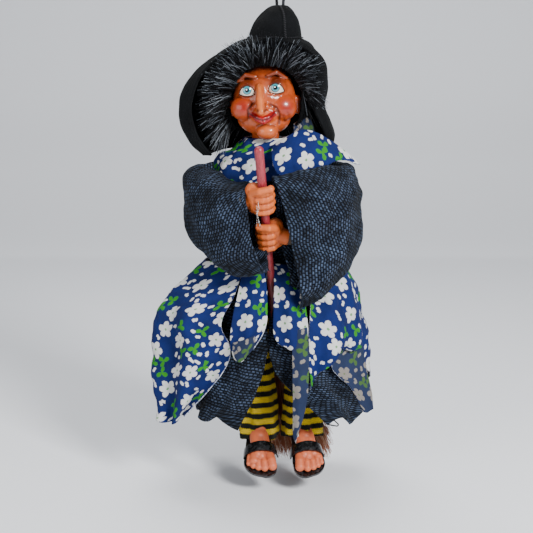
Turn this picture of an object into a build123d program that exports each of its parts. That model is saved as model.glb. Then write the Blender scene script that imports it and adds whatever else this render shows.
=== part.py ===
from build123d import *
import os
from math import cos, radians, sin, tan

# Hanging kitchen witch: a battery shaking doll astride a broom, hung by a cord loop.
# Millimetres.  +Z is up, the face looks towards -Y, left and right are as seen from the front.
# The origin is the inner top of the hanging loop, where the hook bears.

# ---- shared fits ----
cloth_gap = 0.3        # between one cloth layer and the next
running_fit = 0.05     # radial clearance of a turning post or pin
end_play = 0.3         # side clearance beside a swinging eye
case_fit = 0.25        # round a lid or a dropped-in unit

# ---- hanging cord ----
cord_diameter = 1.7
loop_width = 11.4
loop_shoulder_z = -12.0
strand_gap = 3.6
strand_join_z = -33.0
hat_tip_z = -38.9
felt = 1.6
knot_top_z = hat_tip_z - felt - 0.6
knot_radius = 3.8
knot_height = 5.0

# ---- head and hat ----
head_x = -9.0
head_y = -1.0
head_z = -92.0
head_radius = 18.5
head_half_height = 21.0
vinyl = 2.0
crown_base_z = -57.0
brim_bottom_z = -118.0

# ---- neck ----
neck_x = -8.0
neck_y = 2.0
neck_radius = 5.0
neck_ring_radius = 10.0
neck_ring_top = -107.0
neck_ring_thickness = 7.0
neck_flange_radius = 7.0
neck_cap_radius = 7.0
neck_cap_thickness = 2.0

# ---- body casing ----
body_x = -5.0
body_y = 7.0
body_width = 60.0
body_depth = 30.0
body_top = -125.0
body_bottom = -200.0
shoulder_drop = 8.0
shoulder_slope_x = 7.0
shoulder_slope_y = 1.0
body_corner = 7.0
casing_wall = 1.6
screw_boss_radius = 3.0
screw_shank = 1.0
screw_head = 1.9

# ---- battery bay: two AAA cells standing side by side ----
cell_diameter = 10.5
cell_length = 44.5
cell_room = 0.5        # added to the width of each cell
contact_room = 4.0     # added to the length of a cell for its contacts
bay_top = -135.0
bay_wall = 1.2
door_thickness = 1.6
hinge_radius = 1.7
hinge_pin = 0.8

# ---- shaker and sound ----
motor_width = 15.1
motor_depth = 20.1
motor_length = 25.0
motor_top = -165.0
weight_radius = 7.0
weight_height = 5.0
speaker_radius = 14.0
speaker_height = 5.0
speaker_z = -150.0
board_width = 30.0
board_height = 22.0
board_thickness = 1.2
switch_x = 13.2
switch_z = -160.0
knob_width = 3.0
knob_height = 3.4
switch_travel = 2.0

# ---- clothes ----
jacket_cloth = 1.4
skirt_cloth = 1.5
print_cloth = 1.2
jacket_bottom = -195.0
skirt_top = -188.0
skirt_hem = -280.0
overskirt_top = -187.0
slit_left = -8.5
slit_right = 1.5
slit_top = -192.0

# ---- broom ----
handle_top = (-11.9, -52.3, -118.0)
handle_bottom = (0.4, 14.0, -262.0)
handle_top_radius = 2.6
handle_bottom_radius = 2.2
wire_diameter = 0.8

# ---- legs and feet ----
hip_spread = 26.0
hip_centre_x = 0.0
hip_z = -207.0
axle_radius = 1.0
eye_width = 5.0
lug_thickness = 1.6
lug_half_depth = 3.0
leg_radius = 5.5
leg_bottom = -284.0
stocking_top = -218.0
stocking_hem = -297.0
peg_radius = 4.0
peg_length = 12.0
foot_pitch = 33.0
sole_thickness = 2.2

# ---- worked out from the sizes above ----
casing_front = body_y - body_depth / 2
casing_back = body_y + body_depth / 2
casing_left = body_x - body_width / 2
casing_right = body_x + body_width / 2
jacket_outer = cloth_gap + jacket_cloth
skirt_inner = jacket_outer + cloth_gap
skirt_outer = skirt_inner + skirt_cloth
overskirt_inner = skirt_outer + cloth_gap
bay_width = 2 * (cell_diameter + cell_room)
bay_length = cell_length + contact_room
bay_bottom = bay_top - bay_length
cell_y = casing_back - casing_wall - cell_diameter / 2 - 0.3
bay_floor_y = cell_y - cell_diameter / 2 - 0.3
hinge_y = casing_back + hinge_radius
hinge_z = bay_top + hinge_radius
motor_x = body_x - bay_width / 2 - bay_wall - motor_width / 2 - 0.6
motor_shaft_radius = 1.0


def save(builder, label):
    """Label a finished piece and write it as its own STEP file."""
    builder.part.label = label
    export_step(builder.part, f"parts/{label}.step")
    print(f"{label}: {builder.part.volume:.0f} mm3")


def spheroid(centre, radius, half_height, mode=Mode.ADD):
    """Ball stretched along Z, turned from half an ellipse."""
    with BuildSketch(Plane(origin=centre, x_dir=(1, 0, 0), z_dir=(0, -1, 0))) as half:
        Ellipse(radius, half_height)
        Rectangle(radius, 2 * half_height, align=(Align.MAX, Align.CENTER), mode=Mode.SUBTRACT)
    revolve(half.sketch, axis=Axis(centre, (0, 0, 1)), mode=mode)


def ellipse_stack(rings, shrink=0.0, mode=Mode.ADD):
    """Loft through level ellipses given as (z, centre x, centre y, half width, half depth)."""
    sections = []
    for z, x, y, half_width, half_depth in rings:
        with BuildSketch(Plane.XY.offset(z)) as ring:
            with Locations((x, y)):
                Ellipse(half_width - shrink, half_depth - shrink)
        sections.append(ring.sketch)
    loft(sections, mode=mode)


def body_form(grow, bottom, mode=Mode.ADD):
    """The shouldered block of the body, grown evenly, from its top down to bottom."""
    levels = [
        (body_top + grow, shoulder_slope_x, shoulder_slope_y),
        (body_top - shoulder_drop, 0.0, 0.0),
        (bottom, 0.0, 0.0),
    ]
    sections = []
    for z, slope_x, slope_y in levels:
        width = body_width + 2 * (grow - slope_x)
        depth = body_depth + 2 * (grow - slope_y)
        with BuildSketch(Plane.XY.offset(z)) as level:
            with Locations((body_x, body_y)):
                RectangleRounded(width, depth, body_corner + grow)
        sections.append(level.sketch)
    loft(sections, ruled=True, mode=mode)


def cut_from_front(outline, near_y, far_y):
    """Remove an outline drawn in XZ over a stretch of Y."""
    with BuildSketch(Plane.XZ.offset(-far_y)) as window:
        with BuildLine():
            Polyline(*outline, close=True)
        make_face()
    extrude(window.sketch, amount=far_y - near_y, mode=Mode.SUBTRACT)


def rod(start, end, start_radius, end_radius, mode=Mode.ADD):
    """Straight round rod between two points, with its own radius at each end."""
    along = Vector(*end) - Vector(*start)
    with BuildSketch(Plane(origin=start, z_dir=along)) as near_end:
        Circle(start_radius)
    with BuildSketch(Plane(origin=end, z_dir=along)) as far_end:
        Circle(end_radius)
    loft([near_end.sketch, far_end.sketch], mode=mode)


os.makedirs("parts", exist_ok=True)

# ================= hanging cord =================
# One black cord doubled into a loop; both ends go down through the hat tip to a knot.
cord_radius = cord_diameter / 2
loop_top_z = cord_radius
half_loop = loop_width / 2
half_gap = strand_gap / 2
cord_route = [
    (-half_gap, 0, knot_top_z),
    (-half_gap, 0, strand_join_z),
    (-half_loop, 0, loop_shoulder_z),
    (-half_loop, 0, loop_top_z),
    (half_loop, 0, loop_top_z),
    (half_loop, 0, loop_shoulder_z),
    (half_gap, 0, strand_join_z),
    (half_gap, 0, knot_top_z),
]


def cord_radii(route):
    """Arc at each corner: 0.45 of the shorter run beside it, over tan of half the turn."""
    points = [Vector(*p) for p in route]
    radii = []
    for before, corner, after in zip(points, points[1:], points[2:]):
        arriving = corner - before
        leaving = after - corner
        half_turn = radians(arriving.get_angle(leaving)) / 2
        radii.append(0.45 * min(arriving.length, leaving.length) / tan(half_turn))
    return radii


corner_radii = cord_radii(cord_route)
print("cord corner radii:", [round(r, 2) for r in corner_radii])

with BuildPart() as hanging_cord:
    with BuildLine():
        cord_line = FilletPolyline(*cord_route, radius=corner_radii)
    with BuildSketch(Plane(origin=cord_route[0], z_dir=(0, 0, 1))):
        Circle(cord_radius)
    sweep(path=cord_line)
print(f"cord length: {cord_line.length:.1f} mm")
save(hanging_cord, "hanging_cord")

with BuildPart() as cord_knot:
    with BuildSketch(Plane.XY.offset(knot_top_z - knot_height)):
        Circle(knot_radius)
    extrude(amount=knot_height)
    fillet(cord_knot.edges().group_by(Axis.Z)[0], radius=2.0)
    fillet(cord_knot.edges().group_by(Axis.Z)[-1], radius=0.8)
save(cord_knot, "cord_knot")

# ================= hat =================
# Felt crown: a short rounded cone with a slot at the tip for the two strands.
crown_rings = [
    (crown_base_z, -2.9, 0.0, 15.7, 15.0),
    (-50.5, -2.4, 0.0, 14.2, 13.6),
    (-45.0, -1.4, 0.0, 11.2, 10.8),
    (-41.0, -0.6, 0.0, 7.4, 7.2),
    (hat_tip_z, 0.0, 0.0, 4.2, 4.0),
]
crown_hollow = [(z - felt, x, y, width, depth) for z, x, y, width, depth in crown_rings]

with BuildPart() as hat_crown:
    ellipse_stack(crown_rings)
    ellipse_stack(crown_hollow, shrink=felt * 0.6, mode=Mode.SUBTRACT)
    with BuildSketch(Plane.XY.offset(hat_tip_z - 2 * felt)):
        SlotCenterToCenter(strand_gap, cord_diameter + 0.2)
    extrude(amount=3 * felt, mode=Mode.SUBTRACT)
save(hat_crown, "hat_crown")

# Felt brim, turned down like a bonnet round the back and sides and open over the face.
brim_rings = [
    (crown_base_z, -2.9, 0.0, 15.7, 15.0),
    (-66.0, -6.8, 2.0, 30.7, 23.0),
    (-80.0, -12.4, 3.0, 40.0, 26.0),
    (-92.0, -15.5, 3.5, 41.5, 27.5),
    (-106.0, -12.0, 4.0, 42.5, 28.0),
    (brim_bottom_z, -8.0, 4.0, 39.5, 27.0),
]
face_opening = [(-80, -130), (-80, -64), (-30, -60), (25, -60), (60, -64), (60, -130)]

with BuildPart() as hat_brim:
    ellipse_stack(brim_rings)
    ellipse_stack(brim_rings, shrink=felt, mode=Mode.SUBTRACT)
    cut_from_front(face_opening, -60, -6)
save(hat_brim, "hat_brim")

# ================= head =================
# Hollow vinyl moulding: round skull, drooping nose, full cheeks, jutting chin and ears.
head_centre = (head_x, head_y, head_z)
nose_bridge = (-10.6, -16.5, -87.5)
nose_middle = (-10.6, -25.0, -94.0)
nose_tip = (-10.3, -27.6, -98.5)

with BuildPart() as head_shell:
    spheroid(head_centre, head_radius, head_half_height)
    with Locations((-18.8, -11.5, -98.0), (0.6, -11.5, -96.5)):
        Sphere(9.0)
    with Locations((-8.2, -15.5, -107.4)):
        Sphere(6.5)
    with Locations((-18.7, -15.3, -87.0), (-1.8, -15.3, -84.7)):
        Sphere(4.4)
    rod(nose_bridge, nose_middle, 2.4, 3.3)
    rod(nose_middle, nose_tip, 3.3, 2.5)
    with Locations(nose_middle):
        Sphere(3.3)
    with Locations(nose_tip):
        Sphere(2.5)
    spheroid((-27.4, -2.0, -98.6), 3.2, 5.4)
    spheroid((9.8, -2.0, -96.0), 3.2, 5.4)
    with BuildSketch(Plane.XY.offset(neck_ring_top - neck_ring_thickness)):
        with Locations((neck_x, neck_y)):
            Circle(neck_ring_radius)
    extrude(amount=neck_ring_thickness)
    spheroid(head_centre, head_radius - vinyl, head_half_height - vinyl, mode=Mode.SUBTRACT)
    with BuildSketch(Plane.XY.offset(neck_ring_top - neck_ring_thickness)):
        with Locations((neck_x, neck_y)):
            Circle(neck_ring_radius)
    extrude(amount=neck_ring_thickness)
    with BuildSketch(Plane.XY.offset(neck_ring_top - neck_ring_thickness - 1)):
        with Locations((neck_x, neck_y)):
            Circle(neck_radius + running_fit)
    extrude(amount=neck_ring_thickness + 2, mode=Mode.SUBTRACT)
    with BuildSketch(Plane.XY.offset(head_z + head_half_height - 4)):
        with Locations((neck_x, neck_y)):
            Circle(5.0)
    extrude(amount=6, mode=Mode.SUBTRACT)
save(head_shell, "head_shell")

# Faux-fur wig: a thick cap from ear to ear, cut away over the face.
hair_rings = [
    (-60.0, -3.0, 0.0, 13.0, 12.5),
    (-67.0, -6.5, 0.0, 25.0, 18.5),
    (-80.0, -8.5, 0.5, 30.5, 22.5),
    (-95.0, -8.0, 1.0, 29.5, 22.0),
    (-110.0, -8.0, 2.0, 26.0, 18.0),
]
face_window = [(-30.5, -120), (-29.5, -82), (-21, -73), (1, -73), (9.5, -80), (12.5, -120)]

with BuildPart() as hair:
    ellipse_stack(hair_rings)
    cut_from_front(face_window, -60, -1)
    spheroid(head_centre, head_radius, head_half_height, mode=Mode.SUBTRACT)
    add(head_shell.part, mode=Mode.SUBTRACT)
save(hair, "hair")

# ================= neck =================
# Flanged post held by the casing halves; the head turns on it under a screwed-on cap.
neck_post_top = neck_ring_top + running_fit * 2

with BuildPart() as neck_post:
    with BuildSketch(Plane.XY.offset(body_top - casing_wall - 2.4)):
        with Locations((neck_x, neck_y)):
            Circle(neck_flange_radius)
    extrude(amount=2.4)
    body_form(-casing_wall, body_bottom, mode=Mode.INTERSECT)
    with BuildSketch(Plane.XY.offset(body_top - casing_wall)):
        with Locations((neck_x, neck_y)):
            Circle(neck_radius)
    extrude(amount=neck_post_top - body_top + casing_wall)
    with BuildSketch(Plane.XY.offset(neck_post_top - 9)):
        with Locations((neck_x, neck_y)):
            Circle(screw_shank + 0.2)
    extrude(amount=10, mode=Mode.SUBTRACT)
save(neck_post, "neck_post")

with BuildPart() as neck_cap:
    with BuildSketch(Plane.XY.offset(neck_post_top)):
        with Locations((neck_x, neck_y)):
            Circle(neck_cap_radius)
            Circle(screw_shank + 0.3, mode=Mode.SUBTRACT)
    extrude(amount=neck_cap_thickness)
    fillet(neck_cap.edges().group_by(Axis.Z)[-1].sort_by(SortBy.LENGTH)[-1], radius=0.6)
save(neck_cap, "neck_cap")

with BuildPart() as neck_screw:
    with BuildSketch(Plane.XY.offset(neck_post_top - 8)):
        with Locations((neck_x, neck_y)):
            Circle(screw_shank)
    extrude(amount=8 + neck_cap_thickness)
    with BuildSketch(Plane.XY.offset(neck_post_top + neck_cap_thickness)):
        with Locations((neck_x, neck_y)):
            Circle(screw_head)
    extrude(amount=1.4)
    with BuildSketch(Plane.XY.offset(neck_post_top + neck_cap_thickness + 1.4)):
        with Locations((neck_x, neck_y)):
            Rectangle(2.4, 0.5)
            Rectangle(0.5, 2.4)
    extrude(amount=-0.8, mode=Mode.SUBTRACT)
save(neck_screw, "neck_screw")

# ================= body casing =================
# Two moulded halves that meet on the plane of the neck, joined by four long screws.
split_plane = Plane.XZ.offset(-neck_y)
screw_inset = casing_wall + screw_boss_radius - 0.4
screw_spots = [
    (body_x + side * (body_width / 2 - screw_inset), z)
    for side in (-1, 1)
    for z in (body_top - shoulder_drop - 2, body_bottom + screw_inset)
]
screw_seat_y = casing_back - 9.0
screw_tip_y = casing_front + 3.0
hip_spots = [hip_centre_x - hip_spread / 2, hip_centre_x + hip_spread / 2]
lug_offset = eye_width / 2 + end_play + lug_thickness / 2


def along_y(x, z, radius, near_y, far_y, mode=Mode.ADD):
    """Round bar or hole running from near_y to far_y."""
    with BuildSketch(Plane.XZ.offset(-far_y)) as disc:
        with Locations((x, z)):
            Circle(radius)
    extrude(disc.sketch, amount=far_y - near_y, mode=mode)


def block(x_range, y_range, z_range, mode=Mode.ADD):
    """Square-cornered block between three pairs of limits."""
    size = [high - low for low, high in (x_range, y_range, z_range)]
    centre = tuple((high + low) / 2 for low, high in (x_range, y_range, z_range))
    with Locations(centre):
        Box(*size, mode=mode)


def hollow_casing():
    """Shell of the body with its neck hole, before it is split in two."""
    body_form(0, body_bottom)
    body_form(-casing_wall, body_bottom + casing_wall, mode=Mode.SUBTRACT)
    with BuildSketch(Plane.XY.offset(body_top - 2 * casing_wall)) as neck_hole:
        with Locations((neck_x, neck_y)):
            Circle(neck_radius + 0.02)
    extrude(neck_hole.sketch, amount=3 * casing_wall, mode=Mode.SUBTRACT)


with BuildPart() as body_shell_front:
    hollow_casing()
    split(bisect_by=split_plane, keep=Keep.TOP)
    for x, z in screw_spots:
        along_y(x, z, screw_boss_radius, casing_front, neck_y)
    body_form(0, body_bottom, mode=Mode.INTERSECT)
    for x, z in screw_spots:
        along_y(x, z, screw_shank + 0.02, screw_tip_y - 1, neck_y + 1, mode=Mode.SUBTRACT)
    along_y(body_x, speaker_z, speaker_radius + 1.2, casing_front + 0.8, casing_front + 4)
    along_y(body_x, speaker_z, speaker_radius + 0.1, casing_front + casing_wall, casing_front + 9,
            mode=Mode.SUBTRACT)
    with BuildSketch(Plane.XZ.offset(-casing_front - casing_wall - 1)):
        with Locations((body_x, speaker_z)):
            with PolarLocations(6.5, 6):
                Circle(1.1)
            Circle(1.1)
    extrude(amount=casing_wall + 2, mode=Mode.SUBTRACT)
    for hip_x in hip_spots:
        for side in (-1, 1):
            with BuildSketch(Plane.YZ.offset(hip_x + side * lug_offset - lug_thickness / 2)):
                with Locations((0, (hip_z + body_bottom) / 2)):
                    Rectangle(2 * lug_half_depth, body_bottom - hip_z)
                with Locations((0, hip_z)):
                    Circle(lug_half_depth)
                    Circle(axle_radius, mode=Mode.SUBTRACT)
            extrude(amount=lug_thickness)
save(body_shell_front, "body_shell_front")

door_width = bay_width + 0.8
door_height = bay_length - 0.5
knuckle_length = door_width / 3
switch_slot = (knob_width + 0.5, knob_height + switch_travel + 0.5)
door_x_range = (body_x - door_width / 2, body_x + door_width / 2)
door_z_range = (bay_top - door_height, bay_top)


def bar_x(x_from, x_to, y, z, radius, mode=Mode.ADD):
    """Round bar or hole running along X."""
    with BuildSketch(Plane.YZ.offset(x_from)) as disc:
        with Locations((y, z)):
            Circle(radius)
    extrude(disc.sketch, amount=x_to - x_from, mode=mode)


with BuildPart() as body_shell_rear:
    hollow_casing()
    split(bisect_by=split_plane, keep=Keep.BOTTOM)
    for x, z in screw_spots:
        along_y(x, z, screw_boss_radius, neck_y, casing_back)
    body_form(0, body_bottom, mode=Mode.INTERSECT)
    for x, z in screw_spots:
        along_y(x, z, screw_shank + 0.15, neck_y - 1, casing_back + 1, mode=Mode.SUBTRACT)
        along_y(x, z, screw_head + 0.2, screw_seat_y, casing_back + 1, mode=Mode.SUBTRACT)
    block(door_x_range, (casing_back - casing_wall - 1, casing_back + 1), door_z_range, Mode.SUBTRACT)
    with Locations((switch_x, casing_back, switch_z)):
        Box(switch_slot[0], 4 * casing_wall, switch_slot[1], mode=Mode.SUBTRACT)
    for x_from in (door_x_range[0], door_x_range[1] - knuckle_length + case_fit):
        x_to = x_from + knuckle_length - case_fit
        bar_x(x_from, x_to, hinge_y, hinge_z, hinge_radius)
        block((x_from, x_to), (casing_back - 0.5, hinge_y), (hinge_z, hinge_z + hinge_radius))
        bar_x(x_from - 1, x_to + 1, hinge_y, hinge_z, hinge_pin, mode=Mode.SUBTRACT)
save(body_shell_rear, "body_shell_rear")

with BuildPart() as casing_screws:
    for x, z in screw_spots:
        along_y(x, z, screw_shank, screw_tip_y, screw_seat_y)
        along_y(x, z, screw_head, screw_seat_y, screw_seat_y + 1.5)
        with Locations((x, screw_seat_y + 1.5, z)):
            Box(2.4, 1.2, 0.5, mode=Mode.SUBTRACT)
            Box(0.5, 1.2, 2.4, mode=Mode.SUBTRACT)
save(casing_screws, "casing_screws")

# ================= batteries =================
# Open tray behind the door, two cells, and their sheet and coil contacts.
tray_back_y = casing_back - casing_wall
bay_x_range = (body_x - bay_width / 2, body_x + bay_width / 2)
cell_spots = [body_x - bay_width / 4, body_x + bay_width / 4]
contact_thickness = 0.4
spring_length = 2.6
cell_bottom = bay_bottom + contact_thickness + spring_length

with BuildPart() as battery_tray:
    block(
        (bay_x_range[0] - bay_wall, bay_x_range[1] + bay_wall),
        (bay_floor_y - bay_wall, tray_back_y),
        (bay_bottom - bay_wall, bay_top + bay_wall),
    )
    block(bay_x_range, (bay_floor_y, tray_back_y + 1), (bay_bottom, bay_top), Mode.SUBTRACT)
    block((body_x - 0.3, body_x + 0.3), (bay_floor_y, bay_floor_y + 3), (bay_bottom, bay_top))
save(battery_tray, "battery_tray")

with BuildPart() as battery_cells:
    for x in cell_spots:
        with BuildSketch(Plane.XY.offset(cell_bottom)):
            with Locations((x, cell_y)):
                Circle(cell_diameter / 2)
        extrude(amount=cell_length - 0.8)
        with BuildSketch(Plane.XY.offset(cell_bottom + cell_length - 0.8)):
            with Locations((x, cell_y)):
                Circle(1.9)
        extrude(amount=0.8)
save(battery_cells, "battery_cells")

with BuildPart() as battery_contacts:
    for x in cell_spots:
        block((x - 4, x + 4), (cell_y - 4, cell_y + 4), (bay_bottom, bay_bottom + contact_thickness))
        block((x - 4, x + 4), (cell_y - 4, cell_y + 4), (bay_top - contact_thickness, bay_top))
        with BuildSketch(Plane.XY.offset(bay_bottom + contact_thickness)):
            with Locations((x, cell_y)):
                Circle(3.2)
                Circle(2.6, mode=Mode.SUBTRACT)
        extrude(amount=spring_length, taper=14)
save(battery_contacts, "battery_contacts")

door_x = (door_x_range[0] + case_fit, door_x_range[1] - case_fit)
door_z = (door_z_range[0] + case_fit, door_z_range[1] - case_fit)
middle_knuckle = (door_x_range[0] + knuckle_length + case_fit, door_x_range[1] - knuckle_length - case_fit)

with BuildPart() as battery_door:
    block(door_x, (casing_back - door_thickness, casing_back), door_z)
    bar_x(*middle_knuckle, hinge_y, hinge_z, hinge_radius)
    block(middle_knuckle, (casing_back, hinge_y + hinge_radius), (door_z[1] - 2.5, hinge_z))
    block((body_x - 5, body_x + 5), (casing_back, casing_back + 1.4), (door_z[0] + 1, door_z[0] + 3))
    bar_x(*door_x_range, hinge_y, hinge_z, hinge_pin + running_fit, mode=Mode.SUBTRACT)
save(battery_door, "battery_door")

with BuildPart() as battery_door_pin:
    bar_x(*door_x_range, hinge_y, hinge_z, hinge_pin)
save(battery_door_pin, "battery_door_pin")

# ================= shaker, sound and switch =================
# Small can motor standing beside the tray; the off-centre weight on its shaft shakes the doll.
motor_y = body_y
motor_bottom = motor_top - motor_length
shaft_length = 8.0

with BuildPart() as motor:
    with BuildSketch(Plane.XY.offset(motor_bottom)):
        with Locations((motor_x, motor_y)):
            Circle(motor_depth / 2)
            Rectangle(motor_width, motor_depth, mode=Mode.INTERSECT)
    extrude(amount=motor_length)
    with BuildSketch(Plane.XY.offset(motor_top)):
        with Locations((motor_x, motor_y)):
            Circle(3.0)
    extrude(amount=1.5)
    with BuildSketch(Plane.XY.offset(motor_top)):
        with Locations((motor_x, motor_y)):
            Circle(motor_shaft_radius)
    extrude(amount=shaft_length)
save(motor, "motor")

weight_bottom = motor_top + 2.2

with BuildPart() as motor_weight:
    with BuildSketch(Plane.XY.offset(weight_bottom)):
        with Locations((motor_x, motor_y)):
            Circle(weight_radius)
        with Locations((motor_x, motor_y + 1.5)):
            Rectangle(2 * weight_radius, weight_radius, align=(Align.CENTER, Align.MIN), mode=Mode.SUBTRACT)
        with Locations((motor_x, motor_y)):
            Circle(3.0)
            Circle(motor_shaft_radius + running_fit, mode=Mode.SUBTRACT)
    extrude(amount=weight_height)
save(motor_weight, "motor_weight")

speaker_front_y = casing_front + casing_wall

with BuildPart() as speaker:
    along_y(body_x, speaker_z, speaker_radius, speaker_front_y, speaker_front_y + 1.6)
    along_y(body_x, speaker_z, speaker_radius * 0.6, speaker_front_y + 1.6,
            speaker_front_y + speaker_height)
    along_y(body_x, speaker_z, speaker_radius * 0.8, speaker_front_y - 1, speaker_front_y + 0.7,
            mode=Mode.SUBTRACT)
save(speaker, "speaker")

board_z = body_bottom + casing_wall + board_height / 2 + 4
board_y = casing_front + casing_wall

with BuildPart() as circuit_board:
    block(
        (body_x - board_width / 2, body_x + board_width / 2),
        (board_y, board_y + board_thickness),
        (board_z - board_height / 2, board_z + board_height / 2),
    )
    with Locations((body_x - 6, board_y + board_thickness, board_z)):
        Box(8, 2.4, 8, align=(Align.CENTER, Align.MIN, Align.CENTER))
    for x in (body_x + 4, body_x + 10):
        along_y(x, board_z + 3, 2.0, board_y, board_y + 5)
save(circuit_board, "circuit_board")

switch_back_y = casing_back - casing_wall

with BuildPart() as power_switch_body:
    block((switch_x - 4.2, switch_x + 4.2), (switch_back_y - 6, switch_back_y), (switch_z - 6, switch_z + 6))
    block(
        (switch_x - switch_slot[0] / 2, switch_x + switch_slot[0] / 2),
        (switch_back_y - 2, switch_back_y + 1),
        (switch_z - switch_slot[1] / 2, switch_z + switch_slot[1] / 2),
        Mode.SUBTRACT,
    )
save(power_switch_body, "power_switch_body")

knob_z = switch_z - switch_travel / 2

with BuildPart() as power_switch_knob:
    block(
        (switch_x - knob_width / 2, switch_x + knob_width / 2),
        (switch_back_y - 1.8, casing_back + 1.2),
        (knob_z - knob_height / 2, knob_z + knob_height / 2),
    )
    for step in (-1, 0, 1):
        with Locations((switch_x, casing_back + 1.2, knob_z + step)):
            Box(knob_width, 0.5, 0.4, mode=Mode.SUBTRACT)
save(power_switch_knob, "power_switch_knob")

# ================= broom =================
# Tapered stick held in both fists, a fan of faux fur bound on with thin black wire.
with BuildPart() as broom_handle:
    rod(handle_top, handle_bottom, handle_top_radius, handle_bottom_radius)
    with Locations(handle_top):
        Sphere(handle_top_radius)
save(broom_handle, "broom_handle")

bristle_rings = [
    (-256.0, -0.2, 12.2, 5.6, 5.0),
    (-263.0, 1.4, 15.0, 6.2, 5.4),
    (-278.0, 6.5, 20.5, 12.0, 6.0),
    (-300.0, 11.0, 25.0, 18.5, 6.0),
    (-321.0, 13.0, 26.0, 19.0, 6.0),
]
binding_levels = [-259.4, -260.6, -261.8]
wire_route = [
    (4.5, 10.4, -261.8),
    (14.0, 14.6, -272.0),
    (29.5, 18.5, -289.0),
    (39.4, 18.5, -298.6),
    (31.6, 18.5, -297.2),
]

with BuildPart() as broom_wire:
    for z in binding_levels:
        with Locations((0.8, 14.0, z)):
            Torus(6.9, wire_diameter / 2)
    with BuildLine():
        wire_line = FilletPolyline(*wire_route, radius=[4.0, 4.0, 0.9])
    with BuildSketch(Plane(origin=wire_route[0], z_dir=wire_line % 0)):
        Circle(wire_diameter / 2)
    sweep(path=wire_line)
save(broom_wire, "broom_wire")

with BuildPart() as broom_bristles:
    ellipse_stack(bristle_rings)
    add(broom_handle.part, mode=Mode.SUBTRACT)
    add(broom_wire.part, mode=Mode.SUBTRACT)
save(broom_bristles, "broom_bristles")

# ================= jacket =================
# Woven jacket over the casing, open at the back over the battery door and the switch.
opening_margin = 5.0   # cloth cut back round the battery door and the switch
armhole_z = -141.0
armhole_y = 7.0
sleeve_start = 4.4     # from the side of the casing to the first round of the sleeve
arm_radius = 4.5

with BuildPart() as jacket_body:
    body_form(jacket_outer, jacket_bottom)
    body_form(cloth_gap, jacket_bottom - 1, mode=Mode.SUBTRACT)
    with BuildSketch(Plane.XY.offset(body_top - 1)):
        with Locations((neck_x, neck_y)):
            Circle(neck_radius + cloth_gap)
    extrude(amount=8, mode=Mode.SUBTRACT)
    block(
        (door_x_range[0] - opening_margin, switch_x + opening_margin + 1),
        (casing_back - 4, casing_back + 6),
        (door_z_range[0] - opening_margin + 1, door_z_range[1] + opening_margin - 0.5),
        Mode.SUBTRACT,
    )
    for side in (-1, 1):
        edge = body_x + side * body_width / 2
        bar_x(edge - 5, edge + 5, armhole_y, armhole_z, arm_radius + 2.2, mode=Mode.SUBTRACT)
save(jacket_body, "jacket_body")


def bell(sections, shrink, mode=Mode.ADD):
    """Loft of upright ellipses (x, y, z, heading, half width, half height) along a bent sleeve."""
    ellipses = []
    for x, y, z, heading, half_width, half_height in sections:
        turn = radians(heading)
        across = (-sin(turn), cos(turn), 0)
        with BuildSketch(Plane(origin=(x, y, z), x_dir=across, z_dir=(cos(turn), sin(turn), 0))) as ring:
            Ellipse(half_width - shrink, half_height - shrink)
        ellipses.append(ring.sketch)
    for near_end, far_end in zip(ellipses, ellipses[1:]):
        loft([near_end, far_end], mode=mode)


def stretched(sections, reach):
    """The same sections with both end ones moved outwards, for cutting a through hollow."""
    moved = list(sections)
    for index, sign in ((0, -1), (-1, 1)):
        x, y, z, heading, half_width, half_height = sections[index]
        turn = radians(heading)
        moved[index] = (x + sign * reach * cos(turn), y + sign * reach * sin(turn), z,
                        heading, half_width, half_height)
    return moved


sleeve_left_sections = [
    (casing_left - sleeve_start, 6.5, -142.0, 205, 8.0, 10.0),
    (casing_left - 11.0, -7.0, -151.0, 262, 9.0, 20.0),
    (casing_left - 1.0, -22.0, -160.0, 300, 8.5, 25.0),
    (casing_left + 10.0, -30.0, -165.0, 318, 8.0, 28.0),
]
sleeve_right_sections = [
    (casing_right + sleeve_start, 6.5, -142.0, 335, 8.0, 10.0),
    (casing_right + 12.5, -6.0, -155.0, 278, 9.0, 25.0),
    (casing_right + 4.0, -20.5, -166.0, 240, 8.5, 34.0),
    (casing_right - 9.5, -29.0, -172.5, 222, 8.0, 39.0),
]

# ================= arms and hands =================
# Foam-wrapped wire arms from the casing to vinyl fists closed round the stick.
arm_left_route = [(casing_left, armhole_y, armhole_z), (casing_left - 11, -5, -146),
                  (casing_left - 1, -24, -149), (-19.5, -39, -146.5)]
arm_right_route = [(casing_right, armhole_y, armhole_z), (casing_right + 13, -4, -152),
                   (casing_right + 1, -20, -164), (5.0, -33.5, -168.5)]


def point_on_handle(z):
    """Where the middle of the stick is at one height."""
    share = (handle_top[2] - z) / (handle_top[2] - handle_bottom[2])
    return tuple(a + share * (b - a) for a, b in zip(handle_top, handle_bottom))


handle_direction = Vector(*handle_bottom) - Vector(*handle_top)
finger_radius = 2.3
finger_pitch = 4.3
finger_ring = handle_top_radius + finger_radius * 0.8


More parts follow.
